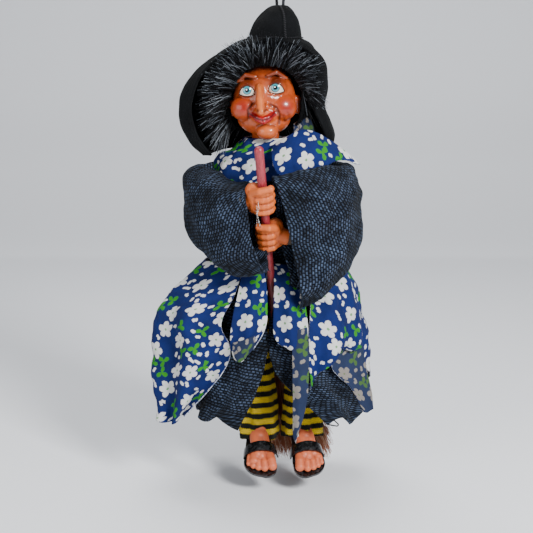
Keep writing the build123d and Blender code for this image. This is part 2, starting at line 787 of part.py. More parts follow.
def fist(middle_z, wrist):
    """Four fingers round the stick, a palm towards the wrist and a thumb laid along it."""
    centre = point_on_handle(middle_z)
    along = handle_direction.normalized()
    for step in (-1.5, -0.5, 0.5, 1.5):
        spot = Vector(*centre) + along * (step * finger_pitch)
        with Locations(Plane(origin=spot, z_dir=along)):
            Torus(finger_ring, finger_radius)
    side = 1 if wrist[0] > centre[0] else -1
    palm = Vector(*centre) + Vector(side * 5.6, 2.8, 0)
    with Locations(palm):
        Sphere(6.4)
    with Locations(palm + along * 4.2):
        Sphere(5.0)
    with Locations(palm - along * 4.2):
        Sphere(5.0)
    rod(tuple(palm), wrist, 5.2, 4.0)
    thumb_root = palm - along * 5 + Vector(0, -2.5, 0)
    thumb_tip = Vector(*centre) - along * 10.5 + Vector(-side * 1.5, -4.2, 0)
    rod(tuple(thumb_root), tuple(thumb_tip), 2.6, 2.1)
    with Locations(thumb_tip):
        Sphere(2.1)


hand_specs = (
    ("left", -146.0, arm_left_route, sleeve_left_sections),
    ("right", -168.3, arm_right_route, sleeve_right_sections),
)
for side_name, hand_z, arm_route, sleeve_sections in hand_specs:
    with BuildPart() as hand:
        fist(hand_z, arm_route[-1])
        add(broom_handle.part, mode=Mode.SUBTRACT)
    save(hand, f"hand_{side_name}")
    with BuildPart() as arm:
        with BuildLine():
            arm_line = Spline(*arm_route)
        with BuildSketch(Plane(origin=arm_route[0], z_dir=arm_line % 0)):
            Circle(arm_radius)
        sweep(path=arm_line)
        add(hand.part, mode=Mode.SUBTRACT)
        body_form(0, body_bottom, mode=Mode.SUBTRACT)
    save(arm, f"arm_{side_name}")
    with BuildPart() as sleeve:
        bell(sleeve_sections, 0)
        bell(stretched(sleeve_sections, 0.6), jacket_cloth, mode=Mode.SUBTRACT)
        add(arm.part, mode=Mode.SUBTRACT)
        add(jacket_body.part, mode=Mode.SUBTRACT)
    save(sleeve, f"sleeve_{side_name}")

# ================= scarf =================
# Printed cotton kerchief: laid over the shoulders and bunched up round the neck.
scarf_inner = jacket_outer + cloth_gap
scarf_outer = scarf_inner + print_cloth
scarf_bottom = -130.0
collar_rings = [
    (body_top + scarf_inner, neck_x, neck_y - 2, 19.0, 13.0),
    (-118.6, neck_x, neck_y - 2, 15.0, 12.0),
    (-115.4, neck_x, neck_y - 2, 12.5, 10.5),
]

with BuildPart() as scarf:
    body_form(scarf_outer, -140)
    body_form(scarf_inner, -141, mode=Mode.SUBTRACT)
    block((-80, 80), (-60, 60), (-145, scarf_bottom), Mode.SUBTRACT)
    ellipse_stack(collar_rings)
    with BuildSketch(Plane.XY.offset(-130)):
        with Locations((neck_x, neck_y)):
            Circle(neck_radius + 1.5)
    extrude(amount=16, mode=Mode.SUBTRACT)
save(scarf, "scarf")

# ================= skirt and overskirt =================
# Dark woven skirt: gathered waist, flared, slit at the front where the stick passes.
skirt_levels = [
    (skirt_top, body_x, body_y, body_width, body_depth, body_corner),
    (-206.0, body_x + 1, body_y - 1, body_width + 4, body_depth + 4, 12.0),
    (-232.0, 0.0, 4.0, 82.0, 56.0, 24.0),
    (skirt_hem, 1.0, 1.0, 96.0, 72.0, 34.0),
]
skirt_slit = [
    (slit_left, slit_top), (slit_right, slit_top), (slit_right + 1.5, -250), (27, skirt_hem - 3),
    (-24, skirt_hem - 3), (slit_left + 2, -250),
]


def skirt_form(levels, grow, mode=Mode.ADD):
    """Loft through level rounded rectangles (z, x, y, width, depth, corner), grown evenly."""
    sections = []
    for z, x, y, width, depth, corner in levels:
        with BuildSketch(Plane.XY.offset(z)) as level:
            with Locations((x, y)):
                RectangleRounded(width + 2 * grow, depth + 2 * grow, corner + grow)
        sections.append(level.sketch)
    loft(sections, ruled=True, mode=mode)


with BuildPart() as skirt:
    skirt_form(skirt_levels, skirt_outer)
    skirt_form(skirt_levels, skirt_inner, mode=Mode.SUBTRACT)
    cut_from_front(skirt_slit, -60, 0)
save(skirt, "skirt")

# Printed overskirt in loose pointed panels, standing well off the skirt at the left.
overskirt_levels = [
    (overskirt_top, body_x, body_y, body_width, body_depth, body_corner),
    (-206.0, body_x, body_y - 1, body_width + 8, body_depth + 7, 12.0),
    (-232.0, -9.0, 3.0, 104.0, 62.0, 26.0),
    (-288.0, -4.0, 1.0, 113.0, 76.0, 36.0),
]
front_hem = [
    (-90, -300), (-90, -262), (-68, -264), (-63, -286), (-45.6, -273.5), (-30, -240), (-21, -243),
    (slit_left, -214), (slit_left, slit_top), (slit_right, slit_top), (slit_right, -226), (7, -236),
    (8.5, -287), (12.5, -287), (15, -262), (30, -241), (42, -236), (57, -280), (90, -262), (90, -300),
]
back_hem = [
    (-90, -300), (-90, -262), (-68, -264), (-60, -284), (-44, -262), (-28, -278), (-8, -258),
    (12, -280), (32, -260), (50, -282), (90, -262), (90, -300),
]
seam_x = (slit_left + slit_right) / 2
seam_gap = 0.2

for label, low_x, high_x in (
    ("overskirt_left", -100, seam_x - seam_gap),
    ("overskirt_right", seam_x + seam_gap, 100),
):
    with BuildPart() as panel:
        skirt_form(overskirt_levels, overskirt_inner + print_cloth)
        skirt_form(overskirt_levels, overskirt_inner, mode=Mode.SUBTRACT)
        cut_from_front(front_hem, -80, body_y - 4)
        cut_from_front(back_hem, body_y - 4, 80)
        block((low_x, high_x), (-90, 90), (-300, -180), Mode.INTERSECT)
    save(panel, label)

# ================= legs =================
# Two stuffed legs swing from one wire axle between lugs under the casing.
axle_reach = hip_spread / 2 + lug_offset + lug_thickness

with BuildPart() as hip_axle:
    bar_x(hip_centre_x - axle_reach, hip_centre_x + axle_reach, 0, hip_z, axle_radius)
save(hip_axle, "hip_axle")

leg_specs = {
    "left": {
        "hip_x": hip_spots[0],
        "rings": [(stocking_top, -13.9, 0, 7.0, 7.2), (-235.0, -13.8, 0, 8.2, 8.0),
                  (-262.0, -12.9, 0, 10.0, 8.8), (stocking_hem, -12.3, 0, 11.4, 9.4)],
        "foot_x": -13.0,
        "yaw": 7.0,
        "toe_side": -1,
    },
    "right": {
        "hip_x": hip_spots[1],
        "rings": [(stocking_top, 13.9, 0, 7.0, 7.2), (-235.0, 13.6, 0, 8.2, 8.0),
                  (-262.0, 13.6, 0, 10.0, 8.8), (stocking_hem, 13.9, 0, 11.4, 9.4)],
        "foot_x": 14.5,
        "yaw": 9.0,
        "toe_side": 1,
    },
}
foot_sections = [
    (-6.5, 3.6, 3.2, 4.0),
    (-3.0, 5.8, 4.6, 4.8),
    (3.0, 6.6, 4.6, 4.6),
    (10.0, 7.4, 3.8, 3.8),
    (17.0, 8.4, 3.0, 3.0),
    (22.0, 8.2, 2.5, 2.5),
]
toe_sizes = [(6.0, 25.5, 2.8), (1.4, 26.2, 2.2), (-2.2, 25.4, 2.0), (-5.2, 24.0, 1.8), (-7.6, 22.0, 1.6)]
strap_edges = [(11.0, 9.8, 9.6), (17.0, 10.7, 8.3)]
strap_thickness = 0.9
ankle_y = -4.0
ankle_z = -297.0


def foot_frame(spec):
    """Plane of the sole: local Y runs from heel to toes, local Z is up out of the foot."""
    yaw = radians(spec["yaw"])
    pitch = radians(foot_pitch)
    forward = Vector(sin(yaw) * cos(pitch), -cos(yaw) * cos(pitch), -sin(pitch))
    across = Vector(-cos(yaw), -sin(yaw), 0)
    return Plane(origin=(spec["foot_x"], ankle_y, ankle_z), x_dir=across, z_dir=across.cross(forward))


def across_foot(frame, distance, height):
    """Upright plane across the foot at a distance along it, centred at a height over the sole."""
    return Plane(origin=frame.from_local_coords((0, distance, height)), x_dir=frame.x_dir, z_dir=frame.y_dir)


for side_name, spec in leg_specs.items():
    hip_x = spec["hip_x"]
    with BuildPart() as leg_core:
        with BuildSketch(Plane.XY.offset(leg_bottom)):
            with Locations((hip_x, 0)):
                Circle(leg_radius)
        extrude(amount=hip_z - 5.5 - leg_bottom)
        with BuildSketch(Plane.YZ.offset(hip_x - eye_width / 2)):
            with Locations((0, hip_z)):
                Circle(3.2)
            with Locations((0, hip_z - 4)):
                Rectangle(6.4, 8)
        extrude(amount=eye_width)
        bar_x(hip_x - 5, hip_x + 5, 0, hip_z, axle_radius + running_fit, mode=Mode.SUBTRACT)
        with BuildSketch(Plane.XY.offset(leg_bottom)):
            with Locations((hip_x, 0)):
                Circle(peg_radius)
        extrude(amount=peg_length, mode=Mode.SUBTRACT)
    save(leg_core, f"leg_core_{side_name}")

    frame = foot_frame(spec)
    with BuildPart() as foot:
        for distance, half_width, half_height, height in foot_sections:
            with BuildSketch(across_foot(frame, distance, height)):
                Ellipse(half_width, half_height)
        loft()
        for across, distance, radius in toe_sizes:
            spot = frame.from_local_coords((spec["toe_side"] * across, distance, radius + 0.1))
            with Locations(spot):
                Sphere(radius)
        rod((hip_x, 0, leg_bottom), (hip_x, 0, leg_bottom - 4), leg_radius, leg_radius)
        rod((hip_x, 0, leg_bottom - 4), (spec["foot_x"], ankle_y + 1, ankle_z + 4), leg_radius, 5.4)
        with BuildSketch(Plane.XY.offset(leg_bottom - 1)):
            with Locations((hip_x, 0)):
                Circle(peg_radius)
        extrude(amount=peg_length + 1)
    save(foot, f"foot_{side_name}")

    with BuildPart() as sandal_sole:
        with BuildSketch(frame):
            with Locations((0, -0.5)):
                Circle(6.8)
            with Locations((spec["toe_side"] * -0.6, 19.5)):
                Circle(9.8)
            with Locations((spec["toe_side"] * 2.6, 24.0)):
                Circle(6.4)
            make_hull()
        extrude(amount=-sole_thickness)
        tread = sandal_sole.faces().sort_by(Axis(frame.origin, frame.z_dir))[0]
        fillet(tread.edges(), radius=0.6)
        add(foot.part, mode=Mode.SUBTRACT)
    save(sandal_sole, f"sandal_sole_{side_name}")

    with BuildPart() as sandal_strap:
        strap_arches = []
        for shrink in (0.0, strap_thickness):
            for distance, half_width, height in strap_edges:
                with BuildSketch(across_foot(frame, distance, 0)) as arch:
                    Ellipse(half_width - shrink, height - shrink)
                    Rectangle(30, 30, align=(Align.CENTER, Align.MIN), mode=Mode.SUBTRACT)
                strap_arches.append(arch.sketch)
        loft(strap_arches[:2])
        loft(strap_arches[2:], mode=Mode.SUBTRACT)
    save(sandal_strap, f"sandal_strap_{side_name}")

    with BuildPart() as stocking:
        ellipse_stack(spec["rings"])
        with BuildSketch(Plane.XY.offset(stocking_hem - 1)):
            with Locations((hip_x, 0)):
                Circle(leg_radius)
        extrude(amount=stocking_top - stocking_hem + 2, mode=Mode.SUBTRACT)
        with BuildSketch(Plane.XY.offset(leg_bottom)):
            with Locations(spec["rings"][-1][1:3]):
                Ellipse(spec["rings"][-1][3] - 2.4, spec["rings"][-1][4] - 2.0)
        extrude(amount=stocking_hem - leg_bottom - 1, mode=Mode.SUBTRACT)
        add(foot.part, mode=Mode.SUBTRACT)
        add(sandal_sole.part, mode=Mode.SUBTRACT)
        add(sandal_strap.part, mode=Mode.SUBTRACT)
    save(stocking, f"stocking_{side_name}")
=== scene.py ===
import random
from math import acos, cos, pi, radians, sin

import bpy
import bmesh
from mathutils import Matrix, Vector, noise


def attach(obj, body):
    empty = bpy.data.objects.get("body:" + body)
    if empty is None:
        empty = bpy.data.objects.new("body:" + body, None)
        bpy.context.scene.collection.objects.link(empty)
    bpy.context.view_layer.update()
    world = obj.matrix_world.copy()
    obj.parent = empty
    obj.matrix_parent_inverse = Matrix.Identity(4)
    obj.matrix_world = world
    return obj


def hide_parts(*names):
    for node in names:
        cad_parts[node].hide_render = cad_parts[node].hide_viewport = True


# A hanging kitchen witch: a shaking doll astride a broom, hung by a cord loop at the hat tip.
# The face looks towards -Y, left and right are as seen from the front, and lengths are in mm until
# a mesh is made.

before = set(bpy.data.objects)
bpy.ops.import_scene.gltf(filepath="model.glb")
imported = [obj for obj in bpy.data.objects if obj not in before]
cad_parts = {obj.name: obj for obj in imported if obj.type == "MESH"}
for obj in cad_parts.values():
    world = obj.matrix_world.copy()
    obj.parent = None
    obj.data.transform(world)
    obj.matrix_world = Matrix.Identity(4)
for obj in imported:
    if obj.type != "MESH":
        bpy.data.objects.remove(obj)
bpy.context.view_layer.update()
mm = 0.001

# ---- camera: level with the chest, looking a little down ----
camera = bpy.data.objects.new("camera", bpy.data.cameras.new("camera"))
camera.location = Vector((-7.8, -700, -60)) * mm
camera.rotation_euler = (radians(90 - 10.679), 0, 0)
camera.data.lens = 80.2
bpy.context.scene.collection.objects.link(camera)
bpy.context.scene.camera = camera

# ---- hanging cord ----
# One twisted cotton cord doubled into a loop; both ends go down through the hat tip to a knot inside.
cord_route = [(-1.8, 0, -41.1), (-1.8, 0, -33), (-5.7, 0, -12), (-5.7, 0, 0.85),
              (5.7, 0, 0.85), (5.7, 0, -12), (1.8, 0, -33), (1.8, 0, -41.1)]


def fix(piece, body, replaced=None):
    """Let a piece ride on a body, and stand for a CAD node, which is hidden."""
    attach(piece, body)
    if replaced:
        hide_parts(replaced)


def linear(code):
    """An sRGB hex colour as the linear RGBA that shaders take."""
    parts = [int(code[i:i + 2], 16) / 255 for i in (1, 3, 5)]
    return tuple(c / 12.92 if c <= 0.04045 else ((c + 0.055) / 1.055) ** 2.4 for c in parts) + (1.0,)


def node(material, kind, links=None, out=0, stops=None, **settings):
    """Add a shader node with its settings and links, and give back one of its outputs."""
    made = material.node_tree.nodes.new("ShaderNode" + kind)
    for name, value in settings.items():
        setattr(made, name, value)
    for socket, value in (links or {}).items():
        if isinstance(value, bpy.types.NodeSocket):
            material.node_tree.links.new(value, made.inputs[socket])
        else:
            made.inputs[socket].default_value = value
    for index, (place, code) in enumerate(stops or []):
        ramp = made.color_ramp.elements
        stop = ramp[index] if index < len(ramp) else ramp.new(place)
        stop.position = place
        stop.color = linear(code)
    return made.outputs[out]


def surface(name, **sockets):
    """A new material whose Principled shader takes the given constants, by socket name with _ for a space."""
    material = bpy.data.materials.new(name)
    material.use_nodes = True
    finish(material, **sockets)
    return material


def finish(material, **sockets):
    """Set or link the Principled shader's sockets of a material."""
    shader = material.node_tree.nodes["Principled BSDF"]
    for name, value in sockets.items():
        socket = shader.inputs[name.replace("_", " ")]
        if isinstance(value, bpy.types.NodeSocket):
            material.node_tree.links.new(value, socket)
        else:
            socket.default_value = value


# Cotton cord, black: two plies laid over each other every 2 mm, soft and dull.
cotton_cord = surface("twisted_cotton_cord", Roughness=0.85, Sheen_Weight=0.05, Specular_IOR_Level=0.15)
place = node(cotton_cord, "TexCoord", out="Object")
ply = node(cotton_cord, "TexWave", {"Vector": place, "Scale": 95, "Distortion": 0.6}, out="Fac",
           bands_direction="DIAGONAL")
finish(cotton_cord, Base_Color=node(cotton_cord, "ValToRGB", {"Fac": ply},
                                    stops=[(0.1, "#060607"), (0.9, "#2B2C30")]),
       Normal=node(cotton_cord, "Bump", {"Height": ply, "Distance": 0.0004, "Strength": 0.8}))

cord_curve = bpy.data.curves.new("cord_loop", "CURVE")
cord_curve.dimensions = "3D"
cord_curve.bevel_depth = 0.85 * mm
cord_curve.bevel_resolution = 4
cord_curve.resolution_u = 16
cord_curve.use_fill_caps = True
strand = cord_curve.splines.new("NURBS")
strand.points.add(len(cord_route) - 1)
for point, spot in zip(strand.points, cord_route):
    point.co = (*(Vector(spot) * mm), 1)
strand.order_u = 3
strand.use_endpoint_u = True
cord_loop = bpy.data.objects.new("cord_loop", cord_curve)
bpy.context.scene.collection.objects.link(cord_loop)
cord_loop.data.materials.append(cotton_cord)
fix(cord_loop, "head", "hanging_cord")


def dress(material, *names):
    """Give CAD pieces that keep their shape a detailed material."""
    for name in names:
        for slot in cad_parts[name].material_slots:
            slot.material = material


dress(cotton_cord, "cord_knot")

# ---- felt hat ----
# Black wool felt: a short rounded crown with a stitched seam, sewn to a soft brim that droops
# round the back and sides like a bonnet. Its surface is matted fibres with a little lint.
felt = surface("wool_felt", Roughness=0.95, Sheen_Weight=0.02, Sheen_Roughness=0.6, Specular_IOR_Level=0.06)
place = node(felt, "TexCoord", out="Object")
matting = node(felt, "TexNoise", {"Vector": place, "Scale": 900, "Detail": 6, "Roughness": 0.7})
shade = node(felt, "TexNoise", {"Vector": place, "Scale": 90, "Detail": 3})
lint = node(felt, "TexVoronoi", {"Vector": place, "Scale": 160}, out="Distance")
lint = node(felt, "ValToRGB", {"Fac": lint}, stops=[(0.05, "#45484C"), (0.09, "#000000")])
wool = node(felt, "Mix", {"Factor": shade, 6: linear("#090A0B"), 7: linear("#1B1D20")}, out=2,
            data_type="RGBA")
wool = node(felt, "Mix", {"Factor": matting, 6: wool, 7: linear("#3A3C40")}, out=2, data_type="RGBA",
            blend_type="OVERLAY")
finish(felt, Base_Color=node(felt, "Mix", {"Factor": 0.35, 6: wool, 7: lint}, out=2, data_type="RGBA",
                             blend_type="ADD"),
       Normal=node(felt, "Bump", {"Height": matting, "Distance": 0.0006, "Strength": 0.9}))


def through(points, count, closed=False):
    """Points along a smooth line that passes through the given ones."""
    points = [Vector(p) for p in points]
    spans = len(points) if closed else len(points) - 1
    line = []
    for step in range(count):
        reach = step * spans / (count if closed else count - 1)
        index = min(int(reach), spans - 1)
        t = reach - index
        a, b, c, d = [points[(index + k) % len(points)] if closed
                      else points[min(max(index + k, 0), len(points) - 1)] for k in (-1, 0, 1, 2)]
        line.append(0.5 * (2 * b + (c - a) * t + (2 * a - 5 * b + 4 * c - d) * t * t
                           + (3 * b - a - 3 * c + d) * t ** 3))
    return line


def fine_grid(rows, across, down, closed=False):
    """A smooth sheet through rows of points: rows run down it and points run across it."""
    wide = [through(row, across, closed) for row in rows]
    columns = [through(column, down) for column in zip(*wide)]
    return [list(row) for row in zip(*columns)]


def crumple(grid, height, size, seed, pleats=0.0, folds=0, closed=False, flat_top=0.25):
    """Push a sheet in and out along its normals: soft noise, and folds that deepen down it."""
    moved = []
    columns = len(grid[0])
    for r, row in enumerate(grid):
        share = r / (len(grid) - 1)
        line = []
        for c, point in enumerate(row):
            ahead = row[(c + 1) % columns if closed else min(c + 1, columns - 1)]
            behind = row[c - 1 if closed else max(c - 1, 0)]
            down = grid[min(r + 1, len(grid) - 1)][c] - grid[max(r - 1, 0)][c]
            normal = down.cross(ahead - behind).normalized()
            soft = noise.noise(point / size + Vector((seed, 2 * seed, 0))) * height
            soft += noise.noise(point / (size * 0.4) + Vector((seed, 0, seed))) * height * 0.35
            fold = pleats * share ** 0.8 * sin(2 * pi * folds * c / columns + seed + 0.8
                                               * sin(3 * share + seed))
            line.append(point + normal * (soft * min(1, flat_top + 2 * share) + fold))
        moved.append(line)
    return moved


def add_object(name, mesh, materials):
    """Put a mesh in the scene as a smooth-shaded object with its materials."""
    made = bpy.data.objects.new(name, mesh)
    for material in materials:
        mesh.materials.append(material)
    bpy.context.scene.collection.objects.link(made)
    mesh.shade_smooth()
    return made


def settle(made):
    """Apply an object's modifiers to its mesh."""
    bpy.context.view_layer.update()
    done = bpy.data.meshes.new_from_object(made.evaluated_get(bpy.context.evaluated_depsgraph_get()))
    made.modifiers.clear()
    made.data = done


def cloth(name, grid, thickness, materials, closed=False, skip=None, flip=False):
    """A two-sided sheet from a grid of points, with materials for its face, reverse and cut edge."""
    columns, middle = len(grid[0]), len(grid[0]) // 2
    u, v = [], []
    for row in grid:
        run = [0.0]
        for a, b in zip(row, row[1:] + row[:1]):
            run.append(run[-1] + (b - a).length)
        u.append([reach - run[middle] for reach in run])
    for column in [[row[c % columns] for row in grid] for c in range(columns + 1)]:
        run = [0.0]
        for a, b in zip(column, column[1:]):
            run.append(run[-1] - (b - a).length)
        v.append(run)
    faces, corners = [], []
    for r in range(len(grid) - 1):
        for c in range(columns if closed else columns - 1):
            if skip and skip((grid[r][c] + grid[r + 1][(c + 1) % columns]) / 2):
                continue
            n = (c + 1) % columns
            face = [(r * columns + c, (u[r][c], v[c][r])), ((r + 1) * columns + c,
                                                            (u[r + 1][c], v[c][r + 1])),
                    ((r + 1) * columns + n, (u[r + 1][c + 1], v[c + 1][r + 1])),
                    (r * columns + n, (u[r][c + 1], v[c + 1][r]))]
            if flip:
                face.reverse()
            faces.append([index for index, _ in face])
            corners += [spot for _, spot in face]
    mesh = bpy.data.meshes.new(name)
    mesh.from_pydata([p * mm for row in grid for p in row], [], faces)
    layer = mesh.uv_layers.new(name="cut_mm")
    for loop, spot in zip(layer.data, corners):
        loop.uv = spot
    if skip:
        shaped = bmesh.new()
        shaped.from_mesh(mesh)
        bmesh.ops.delete(shaped, geom=[p for p in shaped.verts if not p.link_faces], context="VERTS")
        shaped.to_mesh(mesh)
        shaped.free()
    made = add_object(name, mesh, materials)
    thick = made.modifiers.new("thickness", "SOLIDIFY")
    thick.thickness = thickness * mm
    thick.offset = -1
    thick.material_offset = 1
    thick.material_offset_rim = 2
    settle(made)
    return made


def declare_sheet(grid):
    """Measure a sheet's flat width and length along its longest row and column; nothing is kept or given
    back.
    """
    width = max(sum((b - a).length for a, b in zip(row, row[1:])) for row in grid)
    length = max(sum((b - a).length for a, b in zip(column, column[1:])) for column in zip(*grid))
    for upper, lower in zip(grid, grid[1:]):
        for a, b, c, d in zip(upper, upper[1:], lower, lower[1:]):
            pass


def strands(name, lines, thickness, material, sides=3):
    """Many fine fibres as one mesh: each a tapered tube, coloured from its root to its tip."""
    verts, faces, tones = [], [], []
    for line, root, tip, taper in lines:
        start = len(verts)
        for k, point in enumerate(line):
            ahead = (line[min(k + 1, len(line) - 1)] - line[max(k - 1, 0)]).normalized()
            side = ahead.cross(Vector((0.31, 0.22, 0.93))).normalized()
            up = side.cross(ahead)
            share = k / (len(line) - 1)
            for turn in range(sides):
                angle = turn * 2 * pi / sides
                verts.append((point + (side * cos(angle) + up * sin(angle)) * thickness
                              * (1 - taper * share)) * mm)
                tones.append([a + (b - a) * share for a, b in zip(root, tip)])
        for k in range(len(line) - 1):
            for turn in range(sides):
                a, b = start + sides * k + turn, start + sides * k + (turn + 1) % sides
                faces.append((a, b, b + sides, a + sides))
    mesh = bpy.data.meshes.new(name)
    mesh.from_pydata(verts, [], faces)
    shades = mesh.color_attributes.new("tone", "FLOAT_COLOR", "POINT")
    for spot, tone in zip(shades.data, tones):
        spot.color = tone
    return add_object(name, mesh, [material])


def ring(z, x, y, half_width, half_depth, count=72, wave=0.0, lobes=5, start=0.0, sweep=2 * pi, square=1.0):
    """Level oval, anticlockwise from above, with gentle lobes; square below 1 fills its corners."""
    points = []
    for k in range(count):
        angle = start + sweep * k / (count if sweep > 6.2 else count - 1)
        out = 1 + wave * sin(lobes * angle + z * 0.05)
        east = abs(cos(angle)) ** square * (1 if cos(angle) > 0 else -1)
        north = abs(sin(angle)) ** square * (1 if sin(angle) > 0 else -1)
        points.append(Vector((x + half_width * out * east, y + half_depth * out * north, z)))
    return points


crown_levels = [(-38.7, 0.0, 0.0, 2.6, 2.4), (-39.3, -0.1, 0, 5.2, 5.0), (-42.0, -0.7, 0, 8.6, 8.4),
                (-45.5, -1.4, 0, 11.4, 11.0), (-50.5, -2.4, 0, 14.0, 13.4), (-56.5, -2.9, 0, 15.6, 15.0),
                (-59.5, -2.9, 0, 15.9, 15.2)]
crown_grid = fine_grid([ring(*level, wave=0.012, lobes=4) for level in crown_levels], 72, 44, closed=True)
hat_crown_felt = cloth("hat_crown_felt", crumple(crown_grid, 0.7, 11, 3.1, closed=True), 1.5, [felt] * 3,
                       closed=True)
fix(hat_crown_felt, "head", "hat_crown")
seam_lines = []
for k in range(16):
    level = through([(0.1, -5.6, -39.3), (2.0, -10.3, -44), (2.6, -14.2, -51), (3.0, -15.4, -57.4)], 34)
    a, b = level[2 * k], level[2 * k + 1]
    seam_lines.append(([a + Vector((-0.5, -0.9, 0)), (a + b) / 2 + Vector((0, -1.25, 0)),
                        b + Vector((0.5, -0.9, 0))],
                       linear("#272729"), linear("#353538"), 0.0))
for k in range(64):
    angle = 2 * pi * k / 64
    spot = Vector((-2.9 + 16.3 * cos(angle), 15.6 * sin(angle), -57.2 + 0.25 * sin(7 * angle)))
    along = Vector((-sin(angle), cos(angle), 0.05))
    seam_lines.append(([spot - along * 0.55, spot + Vector((0, 0, 0.1)), spot + along * 0.55],
                       linear("#1D1D1F"), linear("#303033"), 0.0))
thread = surface("thread_by_stitch", Roughness=0.8, Specular_IOR_Level=0.15)
finish(thread, Base_Color=node(thread, "Attribute", attribute_name="tone"))
fix(strands("hat_stitches", seam_lines, 0.22, thread, sides=5), "head")

brim_levels = [(-57.5, -2.9, 0.5, 15.4, 14.6), (-60.5, -4.4, 1.5, 22.5, 18.6), (-66.0, -7.6, 2.4, 30.5, 23.0),
               (-75.0, -11.6, 3.0, 38.2, 25.6), (-86.0, -14.6, 3.5, 42.0, 27.2),
               (-96.0, -16.2, 4.0, 41.5, 27.8), (-105.0, -13.2, 4.0, 42.4, 28.0),
               (-113.0, -9.4, 4.0, 42.0, 27.8), (-119.5, -6.4, 4.0, 38.6, 26.6)]
brim_rows = []
for index, level in enumerate(brim_levels):
    opening = min(1.0, index / 2.0)
    start = radians(-90 + 62 * opening)
    brim_rows.append(ring(*level, count=26, start=start, sweep=radians(360 - 124 * opening - 0.5),
                          wave=0.018 * opening, lobes=6))
    for point in brim_rows[-1]:
        point.z -= 0.75 * index * max(0, min(1, (-12 - point.x) / 30))
brim_grid = crumple(fine_grid(brim_rows, 120, 56), 1.6, 21, 5.2, pleats=0.9, folds=7)
hat_brim_felt = cloth("hat_brim_felt", brim_grid, 1.5, [felt] * 3)
fix(hat_brim_felt, "head", "hat_brim")
declare_sheet(brim_grid)

# ---- head ----
# Hollow vinyl moulding, hand painted and lacquered: full cheeks, drooping nose, jutting chin.
# Brown painted shade darkens the sockets, creases and hairline; painted highlights lighten nose and chin; the
# cheeks are rubbed red.


def moulded(name, capsules, voxel, smooth, material):
    """One soft moulding from overlapping round-ended bars (start, end, start radius, end radius)."""
    ball = bmesh.new()
    bmesh.ops.create_uvsphere(ball, u_segments=28, v_segments=18, radius=1)
    ball.verts.index_update()
    ball_points = [vertex.co.copy() for vertex in ball.verts]
    ball_faces = [[vertex.index for vertex in side.verts] for side in ball.faces]
    ball.free()
    points, faces = [], []
    for start, end, start_radius, end_radius in capsules:
        start, end = Vector(start), Vector(end)
        count = max(1, int((end - start).length / 0.9))
        for k in range(count + 1):
            share = k / count
            size = Vector(start_radius if isinstance(start_radius, tuple) else (
                (start_radius + (end_radius - start_radius) * share,) * 3))
            middle, base = start + (end - start) * share, len(points)
            points += [(middle + Vector(a * b for a, b in zip(point, size))) * mm for point in ball_points]
            faces += [[base + index for index in side] for side in ball_faces]
            if start == end:
                break
    mesh = bpy.data.meshes.new(name)
    mesh.from_pydata(points, [], faces)
    made = add_object(name, mesh, [material])
    skin = made.modifiers.new("skin", "REMESH")
    skin.mode = "VOXEL"
    skin.voxel_size = voxel * mm
    blend = made.modifiers.new("blend", "SMOOTH")
    blend.iterations = smooth
    blend.factor = 0.5
    settle(made)
    made.data.shade_smooth()
    return made


def near(point, line):
    """Distance from a point to a line of points, and how far along the line that is, from 0 to 1."""
    best, where = 1e9, 0
    for k, (a, b) in enumerate(zip(line, line[1:])):
        run = b - a
        t = min(1, max(0, (point - a).dot(run) / max(run.length_squared, 1e-9)))
        gap = (point - a - run * t).length
        if gap < best:
            best, where = gap, (k + t) / (len(line) - 1)
    return best, where


def blend_colour(under, over, share):
    return [a + (b - a) * share for a, b in zip(under, over)]


def dome(gap, width):
    """1 at no distance, falling smoothly away."""
    return 2.718 ** (-(gap / width) ** 2)


lacquer = surface("lacquered_vinyl_paint", Coat_Weight=0.45, Coat_Roughness=0.08, Specular_IOR_Level=0.3,
                  Subsurface_Weight=0.06, Subsurface_Scale=0.002)
paint = node(lacquer, "Attribute", attribute_name="paint")
place = node(lacquer, "TexCoord", out="Object")
brushing = node(lacquer, "TexNoise", {"Vector": place, "Scale": 260, "Detail": 4, "Distortion": 1.2})
wiping = node(lacquer, "ValToRGB", {"Fac": brushing}, stops=[(0.3, "#C9C0B8"), (0.7, "#FFFFFF")])
finish(lacquer, Base_Color=node(lacquer, "Mix", {"Factor": 0.55, 6: paint, 7: wiping}, out=2,
                                data_type="RGBA", blend_type="MULTIPLY"),
       Roughness=node(lacquer, "MapRange", {"Value": brushing, "To Min": 0.26, "To Max": 0.44}),
       Normal=node(lacquer, "Bump", {"Height": brushing, "Distance": 0.0003, "Strength": 0.25}))

